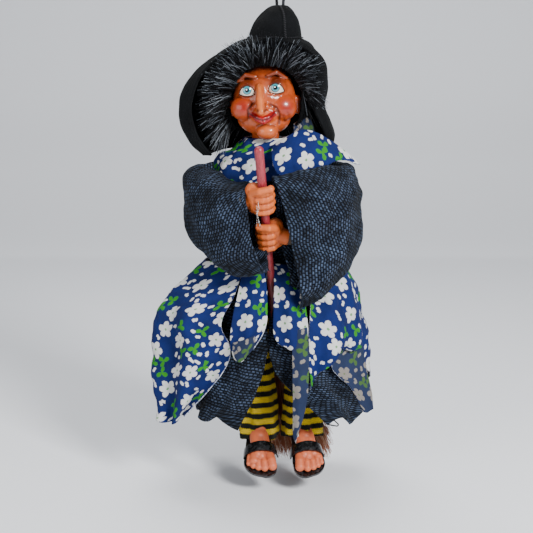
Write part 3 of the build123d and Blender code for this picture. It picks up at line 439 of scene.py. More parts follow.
rounds = [((-9, -1, -92), (18.2, 18.0, 20.5)), ((-9.2, -7, -103), (15.5, 10.5, 10)),
          ((-9.5, -13.5, -101), (9, 6.5, 5.5)), ((-7.4, -15.2, -110.2), (6.4, 5.4, 4.7)),
          ((-19.6, -11.5, -97.2), (8.9, 7.6, 7.6)), ((0.7, -11.5, -96.6), (8.9, 7.6, 8.2)),
          ((-18.4, -12.6, -86.8), 6.0), ((-2.0, -12.6, -85.4), 6.0)]
skull = [(middle, middle, size, size) for middle, size in rounds]
skull += [
         ((-14.2, -15.9, -79.2), (-19.6, -14.6, -78.2), 1.2, 1.4),
         ((-19.6, -14.6, -78.2), (-24.4, -10.6, -82.0), 1.4, 1.0),
         ((-7.0, -16.0, -78.4), (-2.2, -15.1, -76.6), 1.2, 1.4),
         ((-2.2, -15.1, -76.6), (3.6, -11.5, -80.0), 1.4, 1.0),
         ((-11.8, -17.0, -85.0), (-11.6, -22.6, -91.5), 2.3, 2.6),
         ((-11.6, -22.6, -91.5), (-10.9, -26.6, -98.4), 2.6, 2.3),
         ((-14.0, -20.2, -95.4), (-14.0, -20.2, -95.4), 2.1, 2.1),
         ((-7.6, -20.2, -95.8), (-7.6, -20.2, -95.8), 2.1, 2.1),
         ((-27.6, -2.6, -95.0), (-28.2, -2.6, -100.5), 2.6, 1.9),
         ((9.8, -2.6, -92.5), (10.2, -2.6, -99.0), 2.7, 1.9),
         ((-8.4, 1.0, -108), (-8.4, 1.5, -114), 8.5, 8.0)]
upper_lip = [Vector(p) for p in ((-16.2, -17.8, -100.6), (-13.0, -20.6, -101.9), (-9.8, -21.6, -102.6),
                                 (-6.4, -20.6, -101.6), (-3.6, -17.8, -99.9))]
lower_lip = [Vector(p) for p in ((-13.6, -19.6, -102.8), (-9.6, -21.4, -104.6), (-5.6, -19.6, -102.4))]
grin = [Vector((x, 0, z)) for x, z in ((-17.6, -99.8), (-13.4, -102.4), (-9.8, -103.5), (-6.0, -102.1),
                                       (-2.4, -98.9))]
skull += [(a, b, 1.15, 1.15) for a, b in zip(upper_lip, upper_lip[1:])]
skull += [(a, b, 1.45, 1.45) for a, b in zip(lower_lip, lower_lip[1:])]
creases = [([(-15.4, -94.2), (-18.4, -97.4), (-18.0, -102.6)], 0.75),
           ([(-6.0, -94.6), (-2.2, -96.6), (-0.4, -100.6), (-0.6, -105.5)], 0.8),
           ([(1.6, -101.0), (2.6, -104.6)], 0.45), ([(4.4, -99.6), (5.4, -103.2)], 0.35),
           ([(-12.6, -107.0), (-8.0, -105.9), (-3.4, -106.8)], 0.55),
           ([(-24.0, -103.5), (-21.0, -106.0)], 0.35), ([(-14.4, -100.2), (-17.6, -100.4)], 0.35),
           ([(-5.2, -99.6), (-2.6, -98.7)], 0.35), ([(-14.0, -79.0), (-9.0, -79.8), (-5.0, -78.6)], 0.3),
           ([(-12.2, -76.6), (-7.0, -76.4)], 0.25), ([(-22.8, -90.4), (-19.0, -91.6), (-15.2, -90.6)], 0.2),
           ([(-6.4, -89.4), (-2.6, -90.2), (2.0, -88.8)], 0.2)]
eyes = [(-18.6, -87.1, -18.9, -86.6), (-2.3, -85.6, -2.8, -85.2)]
lid_outline = [(-4.7, -1.7), (-3.9, 0.9), (-1.9, 2.7), (0.6, 3.0), (3.0, 1.5), (4.6, -1.5), (2.4, -2.6),
               (-0.6, -3.0), (-3.2, -2.6)]
lid_line = [(p.x, p.y) for p in through([(x, z, 0) for x, z in lid_outline], 40, closed=True)]


def inside_lids(x, z):
    """Whether an offset from the middle of an eye lies between its lids."""
    within = False
    for (ax, az), (bx, bz) in zip(lid_line, lid_line[1:] + lid_line[:1]):
        if (az > z) != (bz > z) and x < (bx - ax) * (z - az) / (bz - az) + ax:
            within = not within
    return within


face = moulded("face", skull, 0.42, 9, lacquer)
# the brown here is for painted shade and the pale orange for painted highlights
skin_tone, painted_shade_brown, blush, light = linear("#BC5222"), linear("#4A1406"), linear("#8E1405"), linear("#D2723A")
lip_red, dark, mouth_red = linear("#9C020D"), linear("#3A0E06"), linear("#3A0206")
shades = face.data.color_attributes.new("paint", "FLOAT_COLOR", "POINT")
crease_lines = [([Vector((x, 0, z)) for x, z in line], depth) for line, depth in creases]
nose_ridge = [Vector((-11.8, 0, -85)), Vector((-10.9, 0, -98.5))]
for index, vertex in enumerate(face.data.vertices):
    p = vertex.co / mm
    flat = Vector((p.x, 0, p.z))
    colour = list(skin_tone)
    if p.y < -4:
        # painted shade: the eye sockets and the forehead under the hair are darkened brown
        socket = sum(dome((flat - Vector((x, 0, z + 3.0))).length, 5.8) for x, z, _, _ in eyes)
        colour = blend_colour(colour, painted_shade_brown, min(0.88, 0.85 * socket + 0.6 * dome(p.z + 74, 6.0)))
        # painted highlight: a lighter stripe down the nose ridge
        colour = blend_colour(colour, light, 0.75 * dome(near(flat, nose_ridge)[0], 1.9))
        for x, z in ((-21.4, -96.4), (3.4, -96.2)):
            colour = blend_colour(colour, blush, min(0.9, 1.0 * dome((flat - Vector((x, 0, z))).length, 5.4)))
        # painted highlight: the chin is lightened
        colour = blend_colour(colour, light, 0.45 * dome((flat - Vector((-7.4, 0, -110))).length, 4.4))
        shift = 0.0
        # painted shade: the moulded creases are also darkened brown
        for line, depth in crease_lines:
            gap = near(flat, line)[0]
            if gap < 3:
                shift += depth * dome(gap, 0.75)
                colour = blend_colour(colour, painted_shade_brown, min(0.8, 1.1 * depth * dome(gap, 0.8)))
        for spot in ((-12.6, -97.6), (-8.9, -98.0)):
            gap = (flat - Vector((spot[0], 0, spot[1]))).length
            colour = blend_colour(colour, dark, 0.8 * dome(gap, 0.8))
        if p.y < -14:
            lip = min(near(p, upper_lip)[0] - 1.15, near(p, lower_lip)[0] - 1.45)
            colour = blend_colour(colour, lip_red, min(1, max(0, 1.35 - 1.6 * lip)))
            colour = blend_colour(colour, mouth_red, 0.9 * dome(near(flat, grin)[0], 0.5))
        for x, z, _, _ in eyes:
            if abs(p.x - x) < 6 and abs(p.z - z) < 5 and inside_lids(p.x - x, p.z - z):
                shift += 2.6
        vertex.co.y += shift * mm
    shades.data[index].color = colour
fix(face, "head", "head_shell")

# Painted eyes: white balls with a teal iris, a black pupil and a dot of white, each rimmed by
# a brown lid line.
eye_radius, eye_y = 5.7, -12.9
lid_tone = linear("#4A2216")
for side, (x, z, iris_x, iris_z) in zip(("left", "right"), eyes):
    eyeball = surface(f"painted_eye_{side}", Roughness=0.12, Coat_Weight=0.8, Coat_Roughness=0.05)
    flat_place = node(eyeball, "UVMap", uv_map="from_iris_mm")
    from_iris = node(eyeball, "VectorMath", {0: flat_place}, out="Value", operation="LENGTH")
    fifth = node(eyeball, "Math", {0: from_iris, 1: 0.2}, operation="MULTIPLY")
    rings = node(eyeball, "ValToRGB", {"Fac": fifth},
                 stops=[(0.0, "#040506"), (0.215, "#0A1416"), (0.235, "#1C6270"), (0.38, "#3F8F9A"),
                        (0.46, "#194650"), (0.5, "#12262C"), (0.535, "#D3CCBC"), (1.0, "#C2B9A8")])
    dot_gap = node(eyeball, "VectorMath", {0: flat_place, 1: (-0.25, 0.35, 0)}, out="Value",
                   operation="DISTANCE")
    dot = node(eyeball, "Math", {0: dot_gap, 1: 0.38}, operation="LESS_THAN")
    finish(eyeball, Base_Color=node(eyeball, "Mix", {"Factor": dot, 6: rings, 7: linear("#FFFFFF")}, out=2,
                                    data_type="RGBA"))
    verts, faces = [Vector((x, eye_y - eye_radius, z)) * mm], []
    for k in range(1, 13):
        for lx, lz in lid_line:
            across, rise = lx * k / 12, lz * k / 12
            depth = (eye_radius ** 2 - across ** 2 - rise ** 2) ** 0.5
            verts.append(Vector((x + across, eye_y - depth, z + rise)) * mm)
    for c in range(40):
        n = (c + 1) % 40
        faces.append((0, 1 + n, 1 + c))
        faces += [(1 + 40 * k + c, 1 + 40 * k + n, 41 + 40 * k + n, 41 + 40 * k + c) for k in range(11)]
    mesh = bpy.data.meshes.new(f"eye_{side}")
    mesh.from_pydata(verts, [], faces)
    layer = mesh.uv_layers.new(name="from_iris_mm")
    for loop in mesh.loops:
        spot = mesh.vertices[loop.vertex_index].co / mm
        layer.data[loop.index].uv = (spot.x - iris_x, spot.z - iris_z)
    eye = add_object(f"eye_{side}", mesh, [eyeball])
    lid = []
    for lx, lz in lid_line + lid_line[:2]:
        depth = (max(eye_radius ** 2 - lx * lx - lz * lz, 1)) ** 0.5
        lid.append(Vector((x + lx, eye_y - depth - 0.12, z + lz)))
    fix(eye, "head")
    lid_rim = strands(f"lid_rim_{side}", [(lid, lid_tone, lid_tone, 0.0)], 0.38, thread, sides=8)
    fix(lid_rim, "head")

# ---- wig ----
# A collar of long black faux fur glued round the face over a dark knitted backing. A fifth of
# its fibres are grey at the tip.
fur = surface("acrylic_fur_fibre", Roughness=0.5, Specular_IOR_Level=0.2)
finish(fur, Base_Color=node(fur, "Attribute", attribute_name="tone"))
random.seed(11)
hairline = through([(-27.5, -4.5, -106), (-27.8, -6.5, -97), (-26.6, -9.5, -90), (-23.8, -12.6, -83.5),
                    (-19.6, -15.2, -77.4), (-13.0, -16.4, -74.6), (-5.0, -16.3, -74.2), (2.2, -14.8, -76.0),
                    (7.4, -11.6, -80.8), (10.6, -8.0, -86.5), (11.8, -5.0, -90)], 240)
face_middle, fur_taper = Vector((-9, -4, -92)), 0.7
locks = []
for k in range(3400):
    share = random.random()
    edge = hairline[min(239, int(share * 240))]
    depth = random.random() ** 0.8
    out = Vector((edge.x - face_middle.x, 0, edge.z - face_middle.z)).normalized()
    root = edge + Vector((0, 9.5 * depth, 0)) + out * (1.2 + 2.4 * depth)
    root += Vector([random.uniform(-0.8, 0.8) for _ in range(3)])
    lean = Vector((random.uniform(-0.34, 0.34), random.uniform(-0.62, 0.1) - 0.35 * (1 - depth),
                   random.uniform(-0.3, 0.3)))
    tuft = Vector([noise.noise(root / 5.0 + Vector((apart, 0, 0))) for apart in (0, 40, 80)]) * 0.55
    heading = (out + lean + tuft).normalized()
    if share > 0.9 or share < 0.06:
        heading = (heading + Vector((0, -0.1, -0.55))).normalized()
    reach = random.uniform(11, 20) * (1 - 0.25 * (share > 0.82)) * (0.72 if depth < 0.12 else 1)
    droop = Vector((0, 0, -1)) * reach * random.uniform(0.05, 0.22)
    line = [root + heading * reach * t + droop * t * t for t in (0, 0.25, 0.5, 0.75, 1)]
    grey = random.random()
    if grey > 0.8:
        tip_tone = linear(random.choice(("#7C848E", "#A9B1BA", "#5C636C")))
        root_tone = linear("#2A2E34")
    else:
        root_tone, tip_tone = linear("#020202"), linear("#0D0E11")
    locks.append((line, root_tone, tip_tone, fur_taper))
fix(strands("wig_fur", locks, 0.2, fur), "head")
wig_levels = [(-59, -3.5, 1, 11, 11), (-64, -5, 1.5, 20, 17), (-72, -8, 2, 26, 19.5),
              (-84, -9, 2.5, 27.5, 20.5), (-97, -9, 3, 26.5, 20), (-110, -8.6, 3, 22, 16.5)]
backing = surface("fur_backing", Roughness=0.9, Specular_IOR_Level=0.08)
nap = node(backing, "TexNoise", {"Vector": node(backing, "TexCoord", out="Object"), "Scale": 700,
                                 "Detail": 5})
finish(backing, Base_Color=node(backing, "ValToRGB", {"Fac": nap},
                                stops=[(0.3, "#030303"), (0.8, "#0E0F12")]),
       Normal=node(backing, "Bump", {"Height": nap, "Distance": 0.0012, "Strength": 1.0}))
cap_rows = [ring(*level, count=24, start=radians(-90 + 54 * min(1, i / 2)),
                 sweep=radians(360 - 108 * min(1, i / 2) - 0.5))
            for i, level in enumerate(wig_levels)]
wig_grid = crumple(fine_grid(cap_rows, 90, 40), 1.4, 6, 9.7)
wig_backing = cloth("wig_backing", wig_grid, 1.2, [backing] * 3)
fix(wig_backing, "head", "hair")
back_hair = []
for k in range(900):
    level = random.choice(wig_grid[6:])
    root = random.choice(level)
    out = Vector((root.x + 8.5, root.y - 3, 0)).normalized()
    heading = (out * 0.5 + Vector((random.uniform(-0.3, 0.3), random.uniform(-0.3, 0.3), -0.9))).normalized()
    reach = random.uniform(7, 13)
    line = [root + heading * reach * t + Vector((0, 0, -2.5)) * t * t for t in (0, 0.33, 0.66, 1)]
    tone = linear("#0D0E11") if random.random() < 0.8 else linear("#6B727B")
    back_hair.append((line, linear("#020202"), tone, fur_taper))
fix(strands("wig_back_fur", back_hair, 0.2, fur), "head")

# ---- printed cotton ----
# Thin plain-weave cotton, screen printed on its face only: white daisies, green sprigs and dots on navy.
# Its reverse shows the print faintly through, grey-blue, and its cut edges are overlocked in white.
flower_gap, sprig_gap, dot_gap = 17.5, 12.5, 5.2
flower_loose, sprig_loose = 0.55, 0.9


def printed(name, ground, ground_in_shadow, petal, leaf, faint):
    """Flower print on plain weave, drawn in millimetres of cloth, its ground darkened in random patches as
    painted shade; faint is for the reverse.
    """
    m = surface(name, Roughness=0.8, Specular_IOR_Level=0.12)
    cut = node(m, "UVMap", uv_map="cut_mm")
    wobble = node(m, "TexNoise", {"Vector": cut, "Scale": 0.9, "Detail": 2}, out="Color")
    wobble = node(m, "VectorMath", {0: wobble, 1: (0.5, 0.5, 0.5)}, operation="SUBTRACT")
    drawn = node(m, "VectorMath", {0: wobble, 1: (1.1, 1.1, 0), 2: cut}, operation="MULTIPLY_ADD")
    masks, centres = [], []
    for spacing, lobes, core, reach, loose, full in (
            (flower_gap, 2.5, 2.6, 2.7, flower_loose, 0.6), (sprig_gap, 1.5, 0.4, 3.8, sprig_loose, 1.3),
            (dot_gap, 1.0, 0.8, 0.85, 0.9, 1.0)):
        scaled = node(m, "VectorMath", {0: drawn, "Scale": 1 / spacing}, operation="SCALE")
        scaled = node(m, "VectorMath", {0: scaled, 1: (spacing, 2.7 * spacing, 0)}, operation="ADD")
        centre = node(m, "TexVoronoi", {"Vector": scaled, "Scale": 1.0, "Randomness": loose}, out="Position",
                      voronoi_dimensions="2D")
        chance = node(m, "TexVoronoi", {"Vector": scaled, "Scale": 1.0, "Randomness": loose}, out="Color",
                      voronoi_dimensions="2D")
        off = node(m, "VectorMath", {0: scaled, 1: centre}, operation="SUBTRACT")
        gap = node(m, "VectorMath", {0: off}, out="Value", operation="LENGTH")
        gap = node(m, "Math", {0: gap, 1: spacing}, operation="MULTIPLY")
        x = node(m, "SeparateXYZ", {0: off}, out="X")
        y = node(m, "SeparateXYZ", {0: off}, out="Y")
        turn = node(m, "Math", {0: node(m, "SeparateXYZ", {0: chance}, out="Y"), 1: 6.28},
                    operation="MULTIPLY")
        angle = node(m, "Math", {0: node(m, "Math", {0: y, 1: x}, operation="ARCTAN2"), 1: turn},
                     operation="ADD")
        petals = node(m, "Math", {0: node(m, "Math", {0: angle, 1: lobes}, operation="MULTIPLY")},
                      operation="COSINE")
        petals = node(m, "Math", {0: node(m, "Math", {0: petals}, operation="ABSOLUTE"), 1: full},
                      operation="POWER")
        petals = node(m, "Math", {0: petals, 1: reach, 2: core}, operation="MULTIPLY_ADD")
        inside = node(m, "MapRange", {"Value": node(m, "Math", {0: petals, 1: gap}, operation="SUBTRACT"),
                                      "From Min": -0.15, "From Max": 0.15})
        masks.append([inside, gap, chance])
        back = node(m, "VectorMath", {0: centre, 1: (spacing, 2.7 * spacing, 0)}, operation="SUBTRACT")
        centres.append(node(m, "VectorMath", {0: back, "Scale": spacing}, operation="SCALE"))
    clear = []
    for spot, spacing, loose, room in ((1, flower_gap, flower_loose, 7.8), (2, flower_gap, flower_loose, 7.0),
                                       (2, sprig_gap, sprig_loose, 4.6)):
        scaled = node(m, "VectorMath", {0: centres[spot], "Scale": 1 / spacing}, operation="SCALE")
        scaled = node(m, "VectorMath", {0: scaled, 1: (spacing, 2.7 * spacing, 0)}, operation="ADD")
        gap = node(m, "TexVoronoi", {"Vector": scaled, "Scale": 1.0, "Randomness": loose}, out="Distance",
                   voronoi_dimensions="2D")
        clear.append(node(m, "Math", {0: gap, 1: room / spacing}, operation="GREATER_THAN"))
    sprig = node(m, "Math", {0: masks[1][0], 1: clear[0]}, operation="MULTIPLY")
    wanted = node(m, "Math", {0: node(m, "SeparateXYZ", {0: masks[2][2]}, out="X"), 1: 0.16},
                  operation="GREATER_THAN")
    dots = node(m, "Math", {0: masks[2][0], 1: wanted}, operation="MULTIPLY")
    dots = node(m, "Math", {0: dots, 1: clear[1]}, operation="MULTIPLY")
    dots = node(m, "Math", {0: dots, 1: clear[2]}, operation="MULTIPLY")
    heart = node(m, "Math", {0: masks[0][1], 1: 0.75}, operation="LESS_THAN")
    # painted shade: random patches of the ground turn to its colour in shadow
    patches = node(m, "TexNoise", {"Vector": cut, "Scale": 0.09, "Detail": 3})
    colour = node(m, "Mix", {"Factor": patches, 6: linear(ground), 7: linear(ground_in_shadow)}, out=2,
                  data_type="RGBA")
    for mask, ink, cover in ((sprig, leaf, faint), (dots, petal, faint), (masks[0][0], petal, faint),
                             (heart, leaf, faint * 0.8)):
        cover = node(m, "Math", {0: mask, 1: cover}, operation="MULTIPLY")
        colour = node(m, "Mix", {"Factor": cover, 6: colour, 7: linear(ink)}, out=2, data_type="RGBA")
    # threads really lie 0.3 mm apart; they are drawn at 0.7 mm so that the weave can be seen
    threads = [node(m, "TexWave", {"Vector": cut, "Scale": 0.48, "Distortion": 0.8, "Detail": 1}, out="Fac",
                    bands_direction=way) for way in ("X", "Y")]
    weave = node(m, "Math", {0: threads[0], 1: threads[1]}, operation="MULTIPLY")
    dull = node(m, "MapRange", {"Value": weave, "To Min": 0.82, "To Max": 1.05})
    colour = node(m, "Mix", {"Factor": 1.0, 6: colour, 7: dull}, out=2, data_type="RGBA",
                  blend_type="MULTIPLY")
    soft = node(m, "TexNoise", {"Vector": cut, "Scale": 0.16, "Detail": 4, "Distortion": 0.4})
    height = node(m, "Math", {0: soft, 1: 3.0, 2: weave}, operation="MULTIPLY_ADD")
    finish(m, Base_Color=colour, Normal=node(m, "Bump", {"Height": height, "Distance": 0.0005,
                                                         "Strength": 0.6}))
    return m


print_face = printed("printed_cotton_face", "#182C72", "#151C42", "#DEDEDC", "#328A1E", 0.98)
print_back = printed("printed_cotton_reverse", "#2E3B5C", "#1E263C", "#9B9388", "#4C702A", 0.75)
overlock = surface("overlock_thread", Roughness=0.7)
twist = node(overlock, "TexNoise", {"Vector": node(overlock, "TexCoord", out="Object"), "Scale": 1400})
finish(overlock, Base_Color=node(overlock, "ValToRGB", {"Fac": twist},
                                 stops=[(0.4, "#44527A"), (0.6, "#C9CCD4")]))
cotton, turned_cotton = [print_face, print_back, overlock], [print_back, print_face, overlock]

# ---- kerchief ----
# A triangle of the printed cotton laid round the shoulders and wound up under the chin, with its
# corner left out at the right and a little of its reverse standing up beside the hair.
neck_rows = []
for z, half_width, half_depth, x, y in ((-114.5, 12.0, 10.5, -8, 0), (-117.5, 15.5, 13.5, -8, 0),
                                        (-121, 21, 16, -7, 1), (-125.5, 29, 19, -6, 4),
                                        (-133, 34.5, 20.5, -5, 5.5), (-141, 35.4, 20.8, -5, 6)):
    neck_rows.append(ring(z, x, y, half_width, half_depth, count=16, wave=0.05, lobes=5, square=0.85))
for index, point in enumerate(neck_rows[-1]):
    point.z += 5.0 * (point.y > 0) + 2.0 * sin(1.7 * index)
kerchief_grid = crumple(fine_grid(neck_rows, 120, 44, closed=True), 2.0, 9, 4.4, pleats=0.7, folds=9,
                        closed=True)
kerchief = cloth("kerchief", kerchief_grid, 0.7, cotton, closed=True)
corner_rows = [
    [(-4, -17, -117.5), (5, -19, -112), (13, -18.5, -108.8), (22, -16, -111), (31, -13, -116.5),
     (39, -11, -122.5), (45, -11.5, -127.6)],
    [(-5, -23, -122), (4, -25, -119), (13, -24.5, -116.5), (22, -21.5, -117.5), (31, -17.5, -120.5),
     (39, -13.5, -124.5), (45.4, -12, -128)],
    [(-4, -28, -128), (4, -29, -129), (13, -28, -128.5), (22, -25, -126), (31, -19.5, -124.5),
     (39, -14.6, -126), (45.8, -12.4, -128.4)],
    [(-2, -29, -132.5), (5, -30, -136), (12, -29, -136.6), (21, -26, -132.5), (30, -20.5, -127.4),
     (38, -15.6, -126.8), (46.4, -13, -129)]]
corner_grid = crumple(fine_grid(corner_rows, 90, 40), 1.1, 7, 2.3)
kerchief_corner = cloth("kerchief_corner", corner_grid, 0.6, cotton)
stand_rows = [[(8, -5, -106.5), (12, -4, -103.5), (15.5, -3, -103.0), (18.5, -2, -104.5)],
              [(8, -8, -109), (12.5, -7, -108), (16, -6, -107.5), (19.5, -4, -109)],
              [(8, -11, -113), (13, -10.5, -113), (17, -9, -113), (21, -7, -114)]]
stand_grid = crumple(fine_grid(stand_rows, 40, 24), 0.8, 5, 8.1)
kerchief_stand = cloth("kerchief_stand", stand_grid, 0.6, turned_cotton)
for piece, grid in ((kerchief, kerchief_grid), (kerchief_corner, corner_grid), (kerchief_stand, stand_grid)):
    fix(piece, "torso", "scarf" if piece == kerchief else None)
    declare_sheet(grid)

# ---- woven jacket ----
# Coarse basket weave in black and slate yarn, sewn as a sack over the casing with wide bell sleeves.
# The slate yarn floats over the black every 2.5 mm in rows 1.75 mm apart: small ovals on black.
hopsack = surface("basket_weave_wool", Roughness=0.9, Sheen_Weight=0.02, Specular_IOR_Level=0.1)
cut = node(hopsack, "UVMap", uv_map="cut_mm")
drift = node(hopsack, "TexNoise", {"Vector": cut, "Scale": 0.1, "Detail": 1}, out="Color")
drift = node(hopsack, "VectorMath", {0: drift, 1: (2.0, 2.0, 0), 2: cut}, operation="MULTIPLY_ADD")
slant = node(hopsack, "Mapping", {"Vector": drift, "Rotation": (0, 0, radians(9))})
float_size = {"Vector": slant, "Scale": 1.0, "Mortar Size": 0.84, "Mortar Smooth": 1.0, "Brick Width": 2.5,
              "Row Height": 1.75}
yarns = node(hopsack, "TexBrick", {**float_size, "Color1": linear("#7F96BE"), "Color2": linear("#0B111C"),
                                   "Bias": -0.25, "Mortar": linear("#020305")}, out="Color")
floats = node(hopsack, "TexBrick", float_size, out="Fac")
fuzz = node(hopsack, "TexNoise", {"Vector": cut, "Scale": 2.2, "Detail": 4})
lint = node(hopsack, "ValToRGB", {"Fac": fuzz}, stops=[(0.3, "#000000"), (0.8, "#080B11")])
yarns = node(hopsack, "Mix", {"Factor": 1.0, 6: yarns, 7: lint}, out=2, data_type="RGBA", blend_type="ADD")
dusk = node(hopsack, "TexNoise", {"Vector": cut, "Scale": 0.05, "Detail": 3})
dusk = node(hopsack, "MapRange", {"Value": dusk, "From Min": 0.35, "From Max": 0.65, "To Min": 0.1,
                                  "To Max": 0.4})
height = node(hopsack, "Math", {0: floats, 1: -1.3, 2: fuzz}, operation="MULTIPLY_ADD")
finish(hopsack, Base_Color=node(hopsack, "Mix", {"Factor": 1.0, 6: yarns, 7: dusk}, out=2, data_type="RGBA",
                                blend_type="MULTIPLY"),
       Normal=node(hopsack, "Bump", {"Height": height, "Distance": 0.0006, "Strength": 0.9}))
woollen = [hopsack] * 3

jacket_levels = [(-123.0, 7.0, 6.5, -8, 2), (-123.2, 15, 11, -6.5, 5), (-123.6, 23.5, 15.0, -5, 7),
                 (-128, 28.6, 16.2, -5, 7), (-134, 31.6, 16.7, -5, 7), (-150, 31.8, 16.7, -5, 7),
                 (-170, 31.9, 16.8, -5, 7), (-195, 32.4, 17.0, -5, 7)]
jacket_rows = [ring(z, x, y, half_width, half_depth, count=64, square=0.55 if z < -125 else 0.8)
               for z, half_width, half_depth, x, y in jacket_levels]
jacket_grid = crumple(fine_grid(jacket_rows, 150, 80, closed=True), 0.35, 6, 6.6, closed=True)


def over_battery_door(middle):
    """The part of the back that is left open for the battery door and the switch."""
    return middle.y > 12 and -21 < middle.x < 19 and -186.8 < middle.z < -130.6


jacket_cloth = cloth("jacket_cloth", jacket_grid, 1.1, woollen, closed=True, skip=over_battery_door)
fix(jacket_cloth, "torso", "jacket_body")
declare_sheet(jacket_grid)


def sleeve(name, rounds, seed, seam, replaced):
    """A bell sleeve through upright ovals: middle, heading, half width, half height and lag of the foot.

    The seam is the turn in degrees at which each oval begins. Its last row, the cuff, is given back.
    """
    rows = []
    for x, y, z, heading, half_width, half_height, lag in rounds:
        turn = radians(heading)
        ahead, across = Vector((cos(turn), sin(turn), 0)), Vector((-sin(turn), cos(turn), 0))
        row = []
        for k in range(24):
            angle = radians(seam) - 2 * pi * k / 24
            lift = half_height * sin(angle)
            row.append(Vector((x, y, z)) + across * half_width * cos(angle) * (1.0 - 0.15 * sin(angle))
                       + Vector((0, 0, lift)) + ahead * lag * lift / half_height)
        rows.append(row)
    grid = crumple(fine_grid(rows, 110, 70, closed=True), 2.6, 13, seed, pleats=0.9, folds=5, closed=True,
                   flat_top=0.5)
    made = cloth(name, grid, 1.2, woollen, closed=True)
    fix(made, "torso", replaced)
    declare_sheet(grid)
    return grid[-1]


left_cuff = sleeve("sleeve_cloth_left", [
    (-34.5, 7, -141, 195, 8, 11, 0), (-44, 4, -144, 215, 9, 14, 0), (-48.5, -6, -150, 262, 9, 19.5, 0),
    (-40, -20, -158, 305, 9.5, 25.5, 1), (-28, -30, -163, 328, 11.5, 28, -2),
    (-13.6, -37.5, -161, 336, 10.0, 25.5, -5.5)], 1.3, 0, "sleeve_left")
right_cuff = sleeve("sleeve_cloth_right", [
    (24.5, 7, -141, 345, 8, 11, 0), (34, 4, -144, 330, 9, 15, 0), (39.5, -6, -153, 280, 9.5, 24, 0),
    (34, -19, -163, 238, 10, 33.5, 1), (19.5, -29, -169, 215, 10.5, 38.5, 4),
    (3.6, -34, -172, 202, 8.0, 38.5, 8.5)], 7.7, 180, "sleeve_right")
# Yarn ends hang from the frayed cuffs.
random.seed(5)
frays = []
for cuff, count in ((left_cuff, 26), (right_cuff, 46)):
    lowest = sorted(cuff, key=lambda p: p.z)[:len(cuff) // 3]
    for k in range(count):
        root = random.choice(lowest)
        fall = random.uniform(1.2, 4.5)
        side = Vector((random.uniform(-1, 1), random.uniform(-1, 0.3), 0)) * 1.4
        line = [root + Vector((0, 0, -fall * t)) + side * t * t for t in (0, 0.33, 0.66, 1)]
        frays.append((line, linear("#07090D"), linear("#1D2736"), 0.3))
fix(strands("cuff_frays", frays, 0.28, thread, sides=4), "torso")

# ---- arms and hands ----
# Foam-wrapped wire arms run from the casing into the sleeves. Soft vinyl fists are glued round the stick,
# with shiny strings of hot glue left between them.
foam = surface("grey_foam_wrap", Roughness=0.9)
cells = node(foam, "TexVoronoi", {"Vector": node(foam, "TexCoord", out="Object"), "Scale": 1300},
             out="Distance")
finish(foam, Base_Color=node(foam, "ValToRGB", {"Fac": cells}, stops=[(0.1, "#1E1C1A"), (0.7, "#48433D")]),
       Normal=node(foam, "Bump", {"Height": cells, "Distance": 0.0005}))
dress(foam, "arm_left", "arm_right", "leg_core_left", "leg_core_right")


def vinyl(name, pale, full):
    """Soft moulded vinyl, tinted through, darker in its hollows as painted shade, with a wiped orange bloom
    and faint mould grain.
    """
    m = surface(name, Roughness=0.45, Subsurface_Weight=0.08, Subsurface_Scale=0.002, Specular_IOR_Level=0.35)
    place = node(m, "TexCoord", out="Object")
    bloom = node(m, "TexNoise", {"Vector": place, "Scale": 120, "Detail": 4})
    grain = node(m, "TexNoise", {"Vector": place, "Scale": 1100, "Detail": 3})
    # painted shade: hollows keep the full dark tint and ridges turn pale
    ridge = node(m, "NewGeometry", out="Pointiness")
    painted_hollow_shade = node(m, "MapRange", {"Value": ridge, "From Min": 0.46, "From Max": 0.53})
    tint = node(m, "Mix", {"Factor": painted_hollow_shade, 6: linear(full), 7: linear(pale)}, out=2, data_type="RGBA")
    bloomed = node(m, "MapRange", {"Value": bloom, "To Max": 0.6})
    tint = node(m, "Mix", {"Factor": bloomed, 6: tint, 7: linear(pale)}, out=2, data_type="RGBA")
    finish(m, Base_Color=tint,
           Normal=node(m, "Bump", {"Height": grain, "Distance": 0.0002, "Strength": 0.4}))
    return m


hand_vinyl = vinyl("hand_vinyl", "#CC6630", "#742608")
stick_top, stick_foot = Vector((-11.9, -52.3, -118)), Vector((0.4, 14, -262))
along = (stick_foot - stick_top).normalized()


def fist(name, level, side, wrist, replaced):
    """A closed fist round the stick: four curled fingers, a thumb laid over them, palm and wrist."""
    middle = stick_top + (stick_foot - stick_top) * ((stick_top.z - level) / (stick_top.z - stick_foot.z))
    front = Vector((0, -1, 0)) - along * Vector((0, -1, 0)).dot(along)
    front.normalize()
    out = Vector((side, 0, 0)) - along * Vector((side, 0, 0)).dot(along)
    out = (out - front * out.dot(front)).normalized()
    bars = []
    for step, size, curl in ((-1.5, 2.25, 205), (-0.5, 2.4, 215), (0.5, 2.3, 210), (1.5, 2.05, 198)):
        base = middle + along * step * 4.2
        knuckles = []
        for turn in range(25, curl, 30):
            angle = radians(turn)
            reach = 4.9 if turn < 60 else 4.5
            knuckles.append(base + (out * cos(angle) + front * sin(angle)) * reach)
        for a, b in zip(knuckles, knuckles[1:]):
            bars.append((a, b, size, size * 0.97))
    palm = middle + out * 5.4 - front * 1.6
    bars += [(palm - along * 5, palm + along * 5.2, 4.6, 4.2),
             (palm + front * 2.6 - along * 4, palm + front * 2.4 + along * 4.6, 3.6, 3.2),
             (palm, Vector(wrist), 5.2, 4.4)]
    thumb = [palm - along * 5.5 + front * 3.5, middle - along * 8.0 + front * 5.2 + out * 1.5,
             middle - along * 8.6 + front * 4.6 - out * 4.4]
    bars += [(thumb[0], thumb[1], 2.7, 2.3), (thumb[1], thumb[2], 2.3, 1.9)]
    fix(moulded(name, bars, 0.38, 3, hand_vinyl), "torso", replaced)


